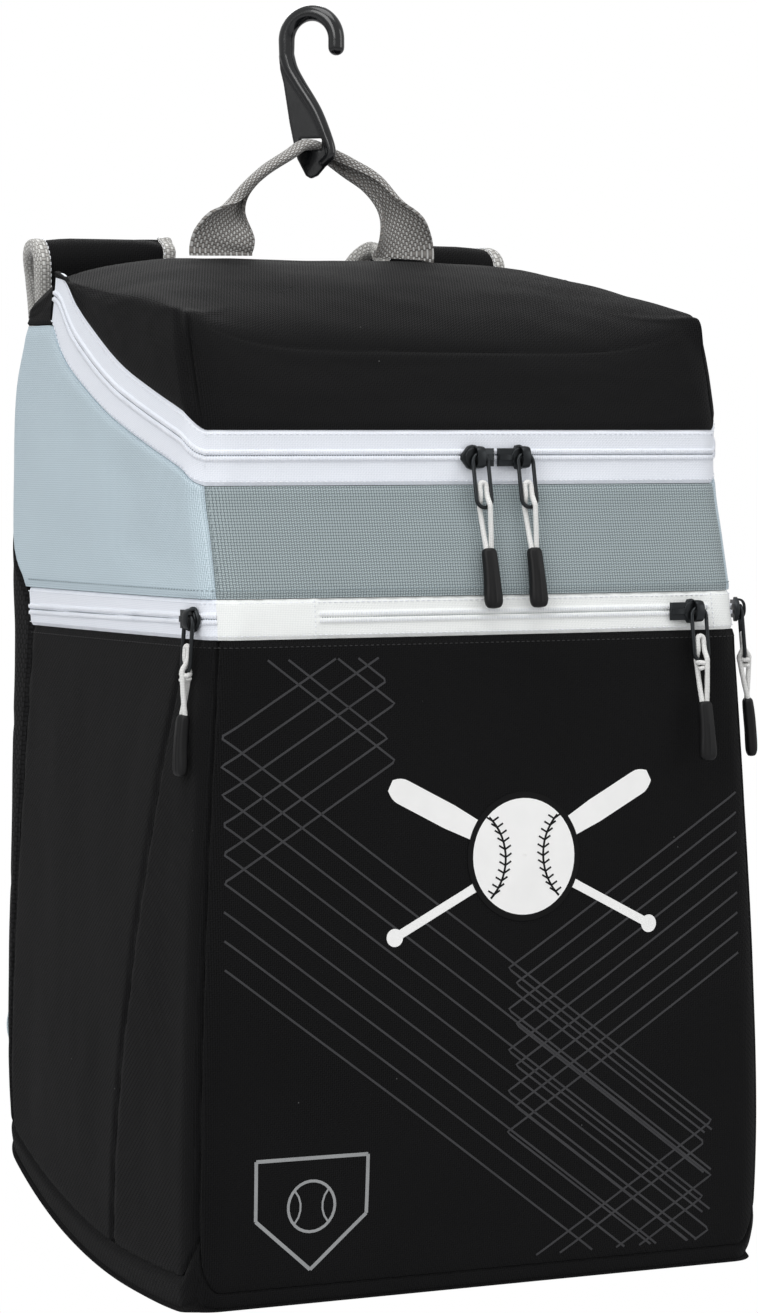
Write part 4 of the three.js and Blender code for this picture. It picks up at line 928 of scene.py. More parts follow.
def buildLid():
    along, rim = lidRim()
    ringAt = np.concatenate([[0, 0.08, 0.16, 0.26], np.linspace(0.4, 4, 34), np.linspace(4.15, 7, 22)])
    grow = tableCurve(lid["rings"], 1, ringAt)[:, None]
    lift = np.clip(tableCurve(lid["rings"], 2, ringAt), 0, 1)[:, None]
    a = np.mod(along, 4)[None]
    atCorner = np.minimum(np.abs(a - 1), np.abs(a - 2))
    earShare = np.exp(-((atCorner / 0.028) ** 2)) * np.exp(-(((lift - 0.9) / 0.22) ** 2)) * np.clip(
        (grow - 0.72) / 0.2, 0, 1)
    dart = lid["dart"] * np.exp(-((atCorner / 0.006) ** 2))
    dart = dart * np.clip(lift * 4, 0, 1) * np.clip((0.93 - lift) / 0.1, 0, 1)
    onWall = np.clip(lift * 3, 0, 1) * np.clip((0.97 - lift) / 0.2, 0, 1)
    folds = 1.8 * softNoise(a * 7 + 3, ringAt[:, None] * 1.1, 23)
    folds = folds + 0.6 * softNoise(a * 22, ringAt[:, None] * 3, 29)
    layers = []
    centre = shell["depth"] / 2
    for depth in (0.0, shell["wall"]):
        z = np.broadcast_to(rim, (len(ringAt), len(along))).copy()
        for _ in range(5):
            sink = depth + 1.2 * np.exp(-((lift / 0.05) ** 2)) + dart + folds * onWall
            edge = shellPoint(np.broadcast_to(a, z.shape), z, sink)
            lean = lid["lean"] * lift * np.maximum(0, 1 - edge[..., 1] / (shell["depth"] * lid["leanReach"]))
            x = edge[..., 0] * grow + np.sign(edge[..., 0]) * earShare * lid["ear"] * 0.75
            y = centre + (edge[..., 1] + lean - centre) * grow - earShare * lid["ear"]
            z = rim + (lidSurface(x, y) - rim) * lift
        slack = 2.6 * softNoise(x / 62 + 4, y / 38 + 2, 23) + 0.8 * softNoise(x / 21, y / 15, 29)
        top = -slack * np.clip((lift - 0.9) * 10, 0, 1) + earShare * lid["earUp"]
        layers.append(np.stack([x, y, z + top - depth * lift], axis=-1))
    return buildBowl("lid", layers, "lid")


base = {
    # ring, grow, lift
    "rings": ((0, 1.0, 1.0), (1, 1.0, 0.55), (2, 0.993, 0.16), (3, 0.962, 0.0), (4, 0.55, 0.0), (5, 0.02, 0.0)),
}


def buildBase():
    along = np.linspace(0, 4, 480, endpoint=False)
    ringAt = np.concatenate([[0, 0.12, 0.3], np.linspace(0.55, 3.4, 22), np.linspace(3.6, 5, 14)])
    grow = tableCurve(base["rings"], 1, ringAt)[:, None]
    lift = np.clip(tableCurve(base["rings"], 2, ringAt), 0, 1)[:, None]
    rim = (shellFoot(along) - shell["gap"] / 2)[None]
    centre = shell["depth"] / 2
    layers = []
    for depth in (0.0, shell["wall"]):
        sink = depth + 1.4 * np.exp(-(((1 - lift) / 0.12) ** 2))
        edgeY = shellPoint(along, rim[0], depth)[..., 1]
        floor = baseEdge(np.minimum(shell["depth"], edgeY))[None]
        z = floor + (rim - floor) * lift
        place = shellPoint(np.broadcast_to(along, z.shape), z, np.broadcast_to(sink, z.shape))
        x = place[..., 0] * grow
        y = centre + (place[..., 1] - centre) * grow
        under = baseEdge(y) + depth
        blend = np.clip((ringAt[:, None] - 2.4) / 0.6, 0, 1)
        z = z + depth * (1 - lift)
        z = z * (1 - blend) + under * blend
        layers.append(np.stack([x, y, z], axis=-1))
    return buildBowl("bottomPanel", layers, "bottom_panel")


buildLid()
buildBase()
print("lid and base ready")

# Straps and handle

straps = {
    "width": 82.0, "thick": 11.0, "edgeThick": 0.66, "binding": 4.2, "bindingProud": 0.7, "up": 535.0,
    "webWidth": 25.0, "webThick": 1.8, "sewnAt": (0.3, 0.065), "sewnClear": 0.35,
    # side, back, up, broad, turn
    "route": (
        (0.67, 0.958, 0.937, 0.9, 0), (0.67, 0.944, 0.966, 0.96, 0), (0.67, 0.934, 0.995, 1.0, 0),
        (0.665, 0.952, 1.008, 1.0, -4), (0.65, 0.996, 1.008, 1.0, -6), (0.615, 1.042, 0.991, 1.0, -6),
        (0.588, 1.076, 0.958, 1.0, -4), (0.565, 1.102, 0.885, 1.0, 0), (0.54, 1.122, 0.79, 1.0, 0),
        (0.53, 1.13, 0.68, 1.0, 0), (0.535, 1.128, 0.57, 1.0, 0), (0.58, 1.115, 0.46, 0.98, 0),
        (0.65, 1.09, 0.38, 0.95, 2), (0.72, 1.066, 0.32, 0.86, 4), (0.78, 1.052, 0.28, 0.6, 6),
    ),
    "lower": (
        (0.8, 1.046, 0.273, 1, 8), (0.88, 1.036, 0.245, 1, 10), (0.915, 1.022, 0.215, 1, 6),
        (0.92, 0.99, 0.198, 1, 0), (0.92, 0.966, 0.196, 1, 0),
    ),
}


# A round section's wave made squarer as the power falls.
def squared(wave, power):
    return np.sign(wave) * np.abs(wave) ** power


# Middles, the ways of the width and of the face, and the widths of a band through a table of rows.
def bandFrame(rows, hand, count):
    fine = smoothRows(rows, count)
    middle = np.stack([hand * fine[:, 0] * shell["halfTop"], fine[:, 1] * shell["depth"],
                       fine[:, 2] * straps["up"]], axis=1)
    ahead = np.gradient(middle, axis=0)
    ahead /= np.linalg.norm(ahead, axis=1, keepdims=True)
    turn = np.radians(fine[:, 4])
    side = np.stack([np.cos(turn), -hand * np.sin(turn), np.zeros(count)], axis=1)
    side -= ahead * np.sum(side * ahead, axis=1, keepdims=True)
    side /= np.linalg.norm(side, axis=1, keepdims=True)
    return middle, side, np.cross(ahead, side), fine[:, 3]


def ringsAcross(middle, side, face, across, thick):
    return (middle[:, None] + side[:, None] * across[..., None] + face[:, None] * thick[..., None])


def buildStrap(name, hand):
    middle, side, face, broad = bandFrame(straps["route"], hand, 150)
    angle = np.linspace(0, 2 * np.pi, 44, endpoint=False)
    half = straps["width"] / 2 * broad[:, None] - 1.2
    across = half * squared(np.cos(angle), 0.42)[None]
    share = np.clip(np.abs(across) / half, 0, 1)
    crown = 1 - (1 - straps["edgeThick"]) * share**3
    run = lengths(middle)[:, None]
    dimple = 1 - 0.09 * softNoise(across / 22 + 5, run / 26, 51) - 0.05 * softNoise(across / 9, run / 11, 52)
    thick = straps["thick"] / 2 * crown * dimple * squared(np.sin(angle), 0.6)[None]
    ends = np.clip(np.minimum(run, run[-1] - run) / 6.0, 0.35, 1)
    rings = ringsAcross(middle, side, face, across, thick * ends)
    pad = buildLoft("shoulderStrap_" + name, rings, "blackTwill")
    finishPiece(pad, "black_cloth", "shoulder_strap_" + name)
    proud = straps["thick"] / 2 * straps["edgeThick"] + straps["bindingProud"]
    for label, toEdge in (("inner", -hand), ("outer", hand)):
        out = toEdge * (straps["width"] / 2 * broad[:, None] - straps["binding"] + 0.35)
        ring = np.linspace(0, 2 * np.pi, 18, endpoint=False)
        wide = straps["binding"] * squared(np.cos(ring), 0.55)[None]
        deep = proud * squared(np.sin(ring), 0.55)[None]
        rings = ringsAcross(middle, side, face, out + wide, deep * ends + 0 * wide)
        around = np.linspace(0, 0.026, 18)
        uv = np.stack(np.broadcast_arrays(around[None], run * 0.001), axis=-1)
        strip = buildLoft(f"binding_{name}_{label}", rings, "bindingTape", uv.reshape(-1, 2))
        finishPiece(strip, "webbing")
        edge = middle + side * (toEdge * (straps["width"] / 2 * broad[:, None] - 2 * straps["binding"] + 1.4))
        for way in (-1, 1):
            line = edge + face * (way * (proud + 0.1))
            sewn = f"stitches_{name}_{label}_{'top' if way > 0 else 'under'}"
            addRun(sewn, line[6:-6], face[6:-6] * way, 3.2, (2.4, 0.5, 0.5), "whiteThread", "webbing")


def buildLowerStrap(name, hand):
    # The last section lies on the padded back, where the strap is sewn
    last = straps["lower"][-1]
    padding = backPadding(*straps["sewnAt"])
    onBack = float(shellPoint(3.5, last[2] * straps["up"])[1]) + padding + straps["sewnClear"]
    rows = (*straps["lower"][:-1], (last[0], onBack / shell["depth"], *last[2:]))
    middle, side, face, broad = bandFrame(rows, hand, 60)
    angle = np.linspace(0, 2 * np.pi, 28, endpoint=False)
    across = straps["webWidth"] / 2 * broad[:, None] * squared(np.cos(angle), 0.3)[None]
    thick = straps["webThick"] / 2 * squared(np.sin(angle), 0.5)[None] + 0 * across
    run = lengths(middle)[:, None] * 0.001
    uv = np.stack(np.broadcast_arrays(across * 0.001, run), axis=-1)
    piece = buildLoft("lowerStrap_" + name, ringsAcross(middle, side, face, across, thick), "strapWing",
                      uv.reshape(-1, 2))
    finishPiece(piece, "webbing", "lower_strap_" + name)


for strapName, strapHand in (("left", -1), ("right", 1)):
    buildStrap(strapName, strapHand)
    buildLowerStrap(strapName, strapHand)

handle = {
    "width": 37.0, "fold": 10.0, "thick": 1.9, "spread": 57.0, "peak": 596.0, "depth": 176.0, "clear": 0.35,
    # along, up, drift, fold, turn
    "route": (
        (-1.0, 0.0, 0.0, 0.0, 0), (-1.0, 0.06, 0.0, 0.0, 0), (-0.98, 0.16, 0.05, 0.06, 0),
        (-0.94, 0.29, 0.08, 0.3, 8),
        (-0.86, 0.45, 0.06, 0.8, 34), (-0.74, 0.61, 0.05, 0.97, 62), (-0.55, 0.77, 0.07, 1.0, 82),
        (-0.31, 0.91, 0.1, 1.0, 90), (-0.14, 1.0, 0.04, 1.0, 90), (0.02, 1.0, -0.04, 1.0, 88),
        (0.18, 0.93, -0.1, 0.97, 66), (0.4, 0.81, -0.06, 0.92, 40), (0.62, 0.68, 0.0, 0.88, 26),
        (0.78, 0.5, 0.05, 0.8, 14), (0.9, 0.28, 0.08, 0.36, 4), (0.97, 0.08, 0.0, 0.03, 0),
        (0.97, 0.0, 0.0, 0.0, 0),
    ),
}


def buildHandle():
    foot = float(lidSurface(handle["spread"] - handle["width"] / 2, handle["depth"])) + handle["clear"]
    fine = smoothRows(handle["route"], 190)
    middle = np.stack([fine[:, 0] * handle["spread"], handle["depth"] - fine[:, 2] * handle["width"],
                       foot + (handle["peak"] - foot) * fine[:, 1]], axis=1)
    ahead = np.gradient(middle, axis=0)
    ahead /= np.linalg.norm(ahead, axis=1, keepdims=True)
    flat = np.cross(np.array((0.0, 1.0, 0.0)), ahead)
    flat /= np.linalg.norm(flat, axis=1, keepdims=True)
    turn = np.radians(fine[:, 4])[:, None]
    side = flat * np.cos(turn) + np.array((0.0, 1.0, 0.0)) * np.sin(turn)
    side -= ahead * np.sum(side * ahead, axis=1, keepdims=True)
    side /= np.linalg.norm(side, axis=1, keepdims=True)
    face = np.cross(ahead, side)
    fold = np.clip(fine[:, 3], 0.0, 1.0)[:, None]
    share = np.linspace(-1, 1, 27)[None]
    curl = np.maximum(fold, 0.02) * np.pi * 0.93
    radius = handle["width"] / 2 / curl
    shrink = 1 - (1 - handle["fold"] / 13.4) * fold
    squash = 1 - 0.66 * fold
    x = radius * np.sin(share * curl) * shrink
    y = radius * (1 - np.cos(share * curl)) * squash
    y -= (radius * (1 - np.cos(curl)) * squash) * 0.5
    dx, dy = np.gradient(x, axis=1), np.gradient(y, axis=1)
    size = np.hypot(dx, dy)
    nx, ny = -dy / size, dx / size
    t = handle["thick"] / 2
    ringX = np.concatenate([x + nx * t, (x - nx * t)[:, ::-1]], axis=1)
    ringY = np.concatenate([y + ny * t, (y - ny * t)[:, ::-1]], axis=1)
    rings = ringsAcross(middle, side, face, ringX, -ringY)
    across = np.concatenate([share, share[:, ::-1]], axis=1) * handle["width"] / 2 * 0.001
    uv = np.stack(np.broadcast_arrays(across, lengths(middle)[:, None] * 0.001), axis=-1)
    piece = buildLoft("haulHandle", rings, "checkedWebbing", uv.reshape(-1, 2), sharp=60.0)
    finishPiece(piece, "webbing", "haul_handle")


buildHandle()
print("straps and handle ready")

# Fence hook

hook = {
    "bend": 14.7, "rod": 8.9, "length": 94.5, "blade": 3.2, "slot": (13.6, 7.0, 63.5), "turn": -50.0,
    "voxel": 0.00042,
    # across, down, thick
    "shank": (
        (-0.155, 0.19, 0.95), (-0.127, 0.275, 0.88), (-0.071, 0.366, 0.8), (-0.012, 0.452, 0.76),
        (0.037, 0.532, 0.72), (0.086, 0.642, 0.68), (0.12, 0.739, 0.63), (0.112, 0.785, 0.58),
        (0.068, 0.825, 0.5),
    ),
    "outline": (
        (-0.196, 0.2), (-0.188, 0.275), (-0.167, 0.355), (-0.151, 0.452), (-0.13, 0.581), (-0.1, 0.719),
        (-0.082, 0.789), (-0.028, 0.887), (-0.002, 0.902), (0.036, 0.887), (0.094, 0.823), (0.12, 0.743),
        (0.087, 0.642), (0.037, 0.532), (-0.012, 0.452), (-0.071, 0.366), (-0.127, 0.275), (-0.155, 0.2),
    ),
}


def planeRings(path, sides):
    points = path[:, :2]
    ahead = np.gradient(points, axis=0)
    ahead /= np.linalg.norm(ahead, axis=1, keepdims=True)
    angle = np.linspace(0, 2 * np.pi, sides, endpoint=False)
    out = np.stack([-ahead[:, 1], ahead[:, 0]], axis=1)
    radius = path[:, 2][:, None]
    x = points[:, 0][:, None] + out[:, 0][:, None] * radius * np.cos(angle)
    z = points[:, 1][:, None] + out[:, 1][:, None] * radius * np.cos(angle)
    return np.stack([x, radius * np.sin(angle), z], axis=-1)


def buildHook():
    rod, bend, long = hook["rod"] / 2, hook["bend"], hook["length"]
    drop = bend - rod
    tip = [(bend, -drop - rod - rod * math.sin(t), rod * math.cos(t)) for t in np.linspace(1.45, 0, 7)]
    arc = [(bend * math.cos(t), -drop + bend * math.sin(t), rod) for t in np.linspace(0, math.pi, 40)]
    shank = smoothRows([(a * long, -d * long, t * rod) for a, d, t in hook["shank"]], 40)
    lead = smoothRows([arc[-1], tuple(shank[0])], 6)[1:-1]
    path = np.concatenate([tip, arc, lead, shank])
    rings = planeRings(path, 28)
    count, sides = rings.shape[:2]
    points = rings.reshape(-1, 3)
    faces = gridFaces(count, sides, wrap=True)
    faces += [tuple(reversed(range(sides))), tuple(range((count - 1) * sides, count * sides))]
    shape = bmesh.new()
    spots = [shape.verts.new(tuple(p * 0.001)) for p in points]
    for f in faces:
        shape.faces.new([spots[i] for i in f])
    bmesh.ops.recalc_face_normals(shape, faces=shape.faces)
    rodMesh = bpy.data.meshes.new("hookRod")
    shape.to_mesh(rodMesh)
    shape.free()
    flat = bpy.data.curves.new("hookBlade", "CURVE")
    flat.dimensions = "2D"
    flat.fill_mode = "BOTH"
    flat.extrude = hook["blade"] / 2 * 0.001 - 0.0004
    flat.bevel_depth = 0.0004
    flat.bevel_resolution = 2
    wide, tall, low = hook["slot"]
    outline = [(a * long, -d * long) for a, d in hook["outline"]]
    hole = [(-wide / 2, -low - tall), (-wide / 2, -low), (wide / 2, -low), (wide / 2, -low - tall)]
    for ring in (outline, hole):
        spline = flat.splines.new("POLY")
        spline.points.add(len(ring) - 1)
        for spot, (x, z) in zip(spline.points, ring):
            spot.co = (x * 0.001, z * 0.001, 0.0, 1.0)
        spline.use_cyclic_u = True
    flatObject = bpy.data.objects.new("hookBlade", flat)
    bladeMesh = bpy.data.meshes.new_from_object(flatObject)
    bladeMesh.transform(Matrix.Rotation(math.pi / 2, 4, "X"))
    shape = bmesh.new()
    shape.from_mesh(rodMesh)
    shape.from_mesh(bladeMesh)
    mesh = bpy.data.meshes.new("fenceHook")
    shape.to_mesh(mesh)
    shape.free()
    piece = bpy.data.objects.new("fenceHook", mesh)
    bpy.context.scene.collection.objects.link(piece)
    remesh = piece.modifiers.new("moulded", "REMESH")
    remesh.mode = "VOXEL"
    remesh.voxel_size = hook["voxel"]
    soften = piece.modifiers.new("softened", "SMOOTH")
    soften.factor = 0.6
    soften.iterations = 7
    done = bpy.data.meshes.new_from_object(piece.evaluated_get(bpy.context.evaluated_depsgraph_get()))
    piece.modifiers.clear()
    done.transform(Matrix.Rotation(math.radians(hook["turn"]), 4, "Z"))
    done.polygons.foreach_set("use_smooth", np.ones(len(done.polygons), bool))
    done.materials.clear()
    done.materials.append(materials["hookPlastic"])
    piece.data = done
    piece.name = "fenceHook"
    for spare in (rodMesh, bladeMesh, mesh):
        bpy.data.meshes.remove(spare)
    bpy.data.objects.remove(flatObject)
    return finishPiece(piece, "hook_plastic", "fence_hook")


buildHook()
print("hook ready")

# Sliders and their pulls

pull = {
    "length": 19.0, "width": 13.0, "plate": 2.2, "bridge": 11.0, "bridgeWall": 1.2, "bail": (11.0, 30.0, 2.1),
    "cord": 2.7, "cordLength": 34.0, "loop": 12.0, "loopRadius": 1.8, "grip": (31.0, 10.0, 6.5), "clear": 0.35,
    "settles": 0.25, "cap": 4.9, "rib": 3.0, "archHalf": (2.5, 0.62),
    # shares of the half length and half width
    "plateSide": ((-1, 0.72), (0.02, 0.72), (0.1, 0.94), (0.34, 1), (0.6, 0.86), (0.8, 0.5), (1, 0.16)),
    # name: along, height, hand, hang, knotted
    "places": {
        "main_left": (1.502, 427.0, -1, 0.0, False), "main_right": (1.566, 427.0, 1, 5.0, False),
        "side_left": (0.897, 346.25, 1, 4.0, True), "front": (1.848, 346.25, 1, 6.0, True),
        "side_right": (2.05, 346.25, -1, 0.0, True),
    },
    # down, width, thick
    "gripRows": ((0.0, 0.5, 0.55), (0.03, 0.7, 0.8), (0.09, 0.8, 0.92), (0.3, 0.82, 1.0), (0.6, 0.9, 1.0),
                 (0.82, 1.0, 0.98), (0.93, 0.93, 0.88), (0.985, 0.68, 0.62), (1.0, 0.3, 0.3)),
}


# Rings of a round tube along points, by carrying one frame along the path.
def tubeRings(points, radius, sides, flatten=1.0):
    points = np.asarray(points, float)
    ahead = np.gradient(points, axis=0)
    ahead /= np.linalg.norm(ahead, axis=1, keepdims=True)
    normal = np.cross(ahead[0], (0.31, 0.87, 0.12))
    normal /= np.linalg.norm(normal)
    angle = np.linspace(0, 2 * np.pi, sides, endpoint=False)
    radius = np.broadcast_to(radius, len(points))
    rings = []
    for spot, way, r in zip(points, ahead, radius):
        normal = normal - way * np.dot(normal, way)
        normal /= np.linalg.norm(normal)
        other = np.cross(way, normal)
        rings.append(spot + r * (np.cos(angle)[:, None] * normal + flatten * np.sin(angle)[:, None] * other))
    return np.array(rings)


def moved(points, matrix):
    points = np.asarray(points, float)
    turn = np.array(matrix.to_3x3())
    return points @ turn.T + np.array(matrix.translation)


def mergeForms(name, forms, material, sharp=38.0):
    points, faces = [], []
    for formPoints, formFaces in forms:
        formPoints = np.asarray(formPoints, float).reshape(-1, 3)
        if signedVolume(formPoints - formPoints.mean(axis=0), formFaces) < 0:
            formFaces = [tuple(reversed(f)) for f in formFaces]
        start = sum(len(p) for p in points)
        points.append(formPoints)
        faces += [tuple(i + start for i in f) for f in formFaces]
    return buildPiece(name, np.concatenate(points), faces, material, sharp=sharp, turn=False)


def loftForm(rings, closed=False):
    rings = np.asarray(rings)
    count, sides = rings.shape[:2]
    faces = gridFaces(count, sides, wrap=True)
    if closed:
        last = (count - 1) * sides
        faces += [(last + i, last + (i + 1) % sides, (i + 1) % sides, i) for i in range(sides)]
    else:
        faces += [tuple(reversed(range(sides))), tuple(range((count - 1) * sides, count * sides))]
    return rings.reshape(-1, 3), faces


# A flat outline in the zip's plane, raised outwards (-Y) with a rounded upper edge.
def raisedForm(outline, low, high, edge):
    outline = np.asarray(outline, float)
    centre = outline.mean(axis=0)
    rings = []
    steps = ((0.0, low), (0.0, high - edge), (0.3 * edge, high - 0.3 * edge), (edge, high))
    for inset, level in steps:
        away = outline - centre
        reach = np.linalg.norm(away, axis=1, keepdims=True)
        ring = centre + away * (1 - inset / reach)
        rings.append(np.stack([ring[:, 0], np.full(len(ring), -level), ring[:, 1]], axis=1))
    return loftForm(rings)


def buildBody(name, group, rest, face, eye, hand, hang):
    half, nose = pull["width"] / 2, hand * pull["length"] / 2
    plate = [(nose * a, -half * b) for a, b in pull["plateSide"]]
    plate += [(nose * a, half * b) for a, b in reversed(pull["plateSide"])]
    turn = np.linspace(0, 2 * np.pi, 24, endpoint=False)
    cap = [(nose * 0.3 + pull["cap"] * math.cos(t), pull["cap"] * math.sin(t)) for t in turn]
    ribHalf = pull["rib"] / 2
    rib = [(-nose * 0.96, -ribHalf), (-nose * 0.1, -ribHalf), (-nose * 0.1, ribHalf), (-nose * 0.96, ribHalf)]
    forms = [raisedForm(plate, rest, face - 0.5, 0.45), raisedForm(cap, face - 0.9, face + 0.25, 0.5),
             raisedForm(rib, face - 0.9, face + 0.35, 0.3)]
    rise = [(-face + 0.8, 5.2), (-face - eye * 0.75, 4.6), (-face - eye - 0.75, 2.2)]
    arch = smoothRows([(hang, y, z) for y, z in rise] + [(hang, y, -z) for y, z in reversed(rise)], 22)
    ring = np.linspace(0, 2 * np.pi, 12, endpoint=False)
    halfWide, halfThick = pull["archHalf"]
    rings = []
    for i, p in enumerate(arch):
        ahead = arch[min(i + 1, len(arch) - 1)] - arch[max(i - 1, 0)]
        ahead /= np.linalg.norm(ahead)
        out = np.cross(ahead, (1.0, 0.0, 0.0))
        wide = np.stack([halfWide * squared(np.cos(ring), 0.5), 0 * ring, 0 * ring], 1)
        rings.append(p + wide + (halfThick * squared(np.sin(ring), 0.6))[:, None] * out)
    forms.append(loftForm(rings))
    body = mergeForms("slider_" + name, [(moved(p, group), f) for p, f in forms], "sliderMetal", 50.0)
    finishPiece(body, "slider_metal", "slider_" + name)


def buildBail(name, hung):
    wide, long, wire = pull["bail"]
    r = wide / 2 - wire / 2
    upper = wire / 2 - wide / 2
    lower = upper - (long - wide)
    top = [(r * math.cos(t), 0.0, upper + r * math.sin(t)) for t in np.linspace(0, math.pi, 17)]
    bottom = [(r * math.cos(t), 0.0, lower + r * math.sin(t)) for t in np.linspace(math.pi, 2 * math.pi, 17)]
    loop = np.array(top + bottom)
    turnWire = np.linspace(0, 2 * np.pi, 12, endpoint=False)
    centreZ = np.clip(loop[:, 2], lower, upper)
    away = loop - np.stack([0 * centreZ, 0 * centreZ, centreZ], axis=1)
    away /= np.linalg.norm(away, axis=1, keepdims=True)
    bail = loop[:, None] + wire / 2 * (np.cos(turnWire)[None, :, None] * away[:, None]
                                       + np.sin(turnWire)[None, :, None] * np.array((0.0, 1.0, 0.0)))
    points, faces = loftForm(bail, closed=True)
    finishPiece(mergeForms("bail_" + name, [(moved(points, hung), faces)], "sliderMetal"), "slider_metal",
                "bail_" + name)


# The bail's lower end, the cord's uppermost place and where the cord goes into its grip.
def cordHeights():
    wide, long, wire = pull["bail"]
    leg = wire - long
    loopTop = leg + wire / 2 + pull["loop"]
    return leg, loopTop, loopTop - pull["cordLength"]


def buildCord(name, hung, knotted):
    leg, loopTop, cordFoot = cordHeights()
    off = (pull["bail"][2] + pull["cord"]) / 2 + pull["clear"]
    beside = pull["cord"] / 2 + pull["clear"] / 2
    bend = pull["loopRadius"]
    up = [(-beside, 0.0, cordFoot - 3.0), (-beside, 0.0, cordFoot),
          (-beside, off * 0.4, cordFoot + pull["cordLength"] * 0.2),
          (-beside, off, leg - 1), (-beside, off, leg + 1), (-bend, off * 0.1, leg + pull["loop"] * 0.5),
          (-bend, 0.0, loopTop - bend), (-bend * 0.71, 0.0, loopTop - bend * 0.29)]
    down = [(-x, -y, z) for x, y, z in reversed(up)]
    route = smoothRows(up + [(0.0, 0.0, loopTop)] + down, 110)
    radius = pull["cord"] / 2 * (1 + 0.03 * np.sin(np.arange(110) * 1.9))
    forms = [loftForm(tubeRings(route, radius, 12))]
    if knotted:
        around = np.linspace(0, 2 * np.pi, 20)[:-1]
        knotZ = leg - 1.6
        upper = lambda t: (2.76 * math.cos(t), 2.0 * math.sin(t), knotZ + 0.9 * math.sin(t * 0.5 + 0.4))
        lower = lambda t: (2.0 * math.cos(t), 1.7 * math.sin(t + 0.8), knotZ - 2.0 + 0.5 * math.cos(t))
        for thick, turn in ((1.25, upper), (1.1, lower)):
            wrap = [turn(t) for t in around]
            forms.append(loftForm(tubeRings(np.array(wrap + wrap[:1]), thick, 10)[:-1], closed=True))
    piece = mergeForms("pullCord_" + name, [(moved(p, hung), f) for p, f in forms], "pullCord")
    finishPiece(piece, "pull_cord", "pull_cord_" + name)


def buildGrip(name, hung):
    long, wide, thick = pull["grip"]
    rows = smoothRows(pull["gripRows"], 44)
    sides = np.linspace(0, 2 * np.pi, 28, endpoint=False)
    x = rows[:, 1][:, None] * wide / 2 * squared(np.cos(sides), 0.85)[None]
    channel = 1 - 0.16 * np.exp(-((np.abs(x) / 1.5 - 1.0) / 0.35) ** 2)
    y = rows[:, 2][:, None] * thick / 2 * squared(np.sin(sides), 0.75)[None] * channel
    z = (cordHeights()[2] - pull["clear"] - rows[:, 0] * long)[:, None] + 0 * x
    lift = 0.4 * np.sin(np.clip(rows[:, 0], 0, 1) * math.pi)[:, None]
    points, faces = loftForm(np.stack([x, y - lift, z], axis=-1))
    finishPiece(mergeForms("pullGrip_" + name, [(moved(points, hung), faces)], "gripRubber"), "grip_rubber",
                "pull_grip_" + name)


def buildSlider(name, along, height, hand, hang, knotted):
    spot = shellPoint(along, height)
    way = shellPoint(along + 0.01, height) - shellPoint(along - 0.01, height)
    way /= np.linalg.norm(way)
    outward = np.array((way[1], -way[0], 0.0))
    standsOut = lambda up: float(np.dot(shellPoint(along, height + up) - spot, outward))
    group = Matrix.Translation(Vector(spot)) @ Matrix.Rotation(math.atan2(way[1], way[0]), 4, "Z")
    half, clear = pull["width"] / 2, pull["clear"]
    rest = clear + max(0.0, standsOut(-half), standsOut(half)) - pull["settles"]
    face = rest + pull["settles"] + pull["plate"]
    wire = pull["bail"][2]
    eye = wire + 2 * clear
    buildBody(name, group, rest, face, eye, hand, hang)
    # The pull leans out just far enough to hang against the cloth
    total = pull["bail"][1] + pull["cordLength"] + pull["grip"][0]
    drops = [total * k / 8 for k in range(1, 9)]
    lean = max(0.0, *(math.atan2(standsOut(-drop), drop) for drop in drops))
    eyeHalf = pull["bridge"] / 2 - 2 * pull["bridgeWall"]
    eyePlace = Matrix.Translation((hang, -face - eye / 2, eyeHalf - clear - wire / 2))
    hung = group @ eyePlace @ Matrix.Rotation(-lean, 4, "X")
    buildBail(name, hung)
    buildCord(name, hung, knotted)
    buildGrip(name, hung)


for sliderName, sliderPlace in pull["places"].items():
    buildSlider(sliderName, *sliderPlace)
print("sliders ready")

# Print on the front panel

prints = {
    "film": 0.12, "lines": 9, "lineWidth": 1.15, "pitchLeft": 14.5, "pitchRight": 10.6, "turned": 6,
    "edges": {"left": -152.0, "right": 150.0, "top": 326.0, "foot": 14.0},
    "teeth": {"high": -60.0, "middle": 8.0, "low": 133.0}, "down": 0.74, "up": 0.6,
    "ball": (18.0, 222.0, 30.0), "batLength": 172.0, "batTilt": 27.0, "plate": (-104.0, 48.0, 31.0),
}


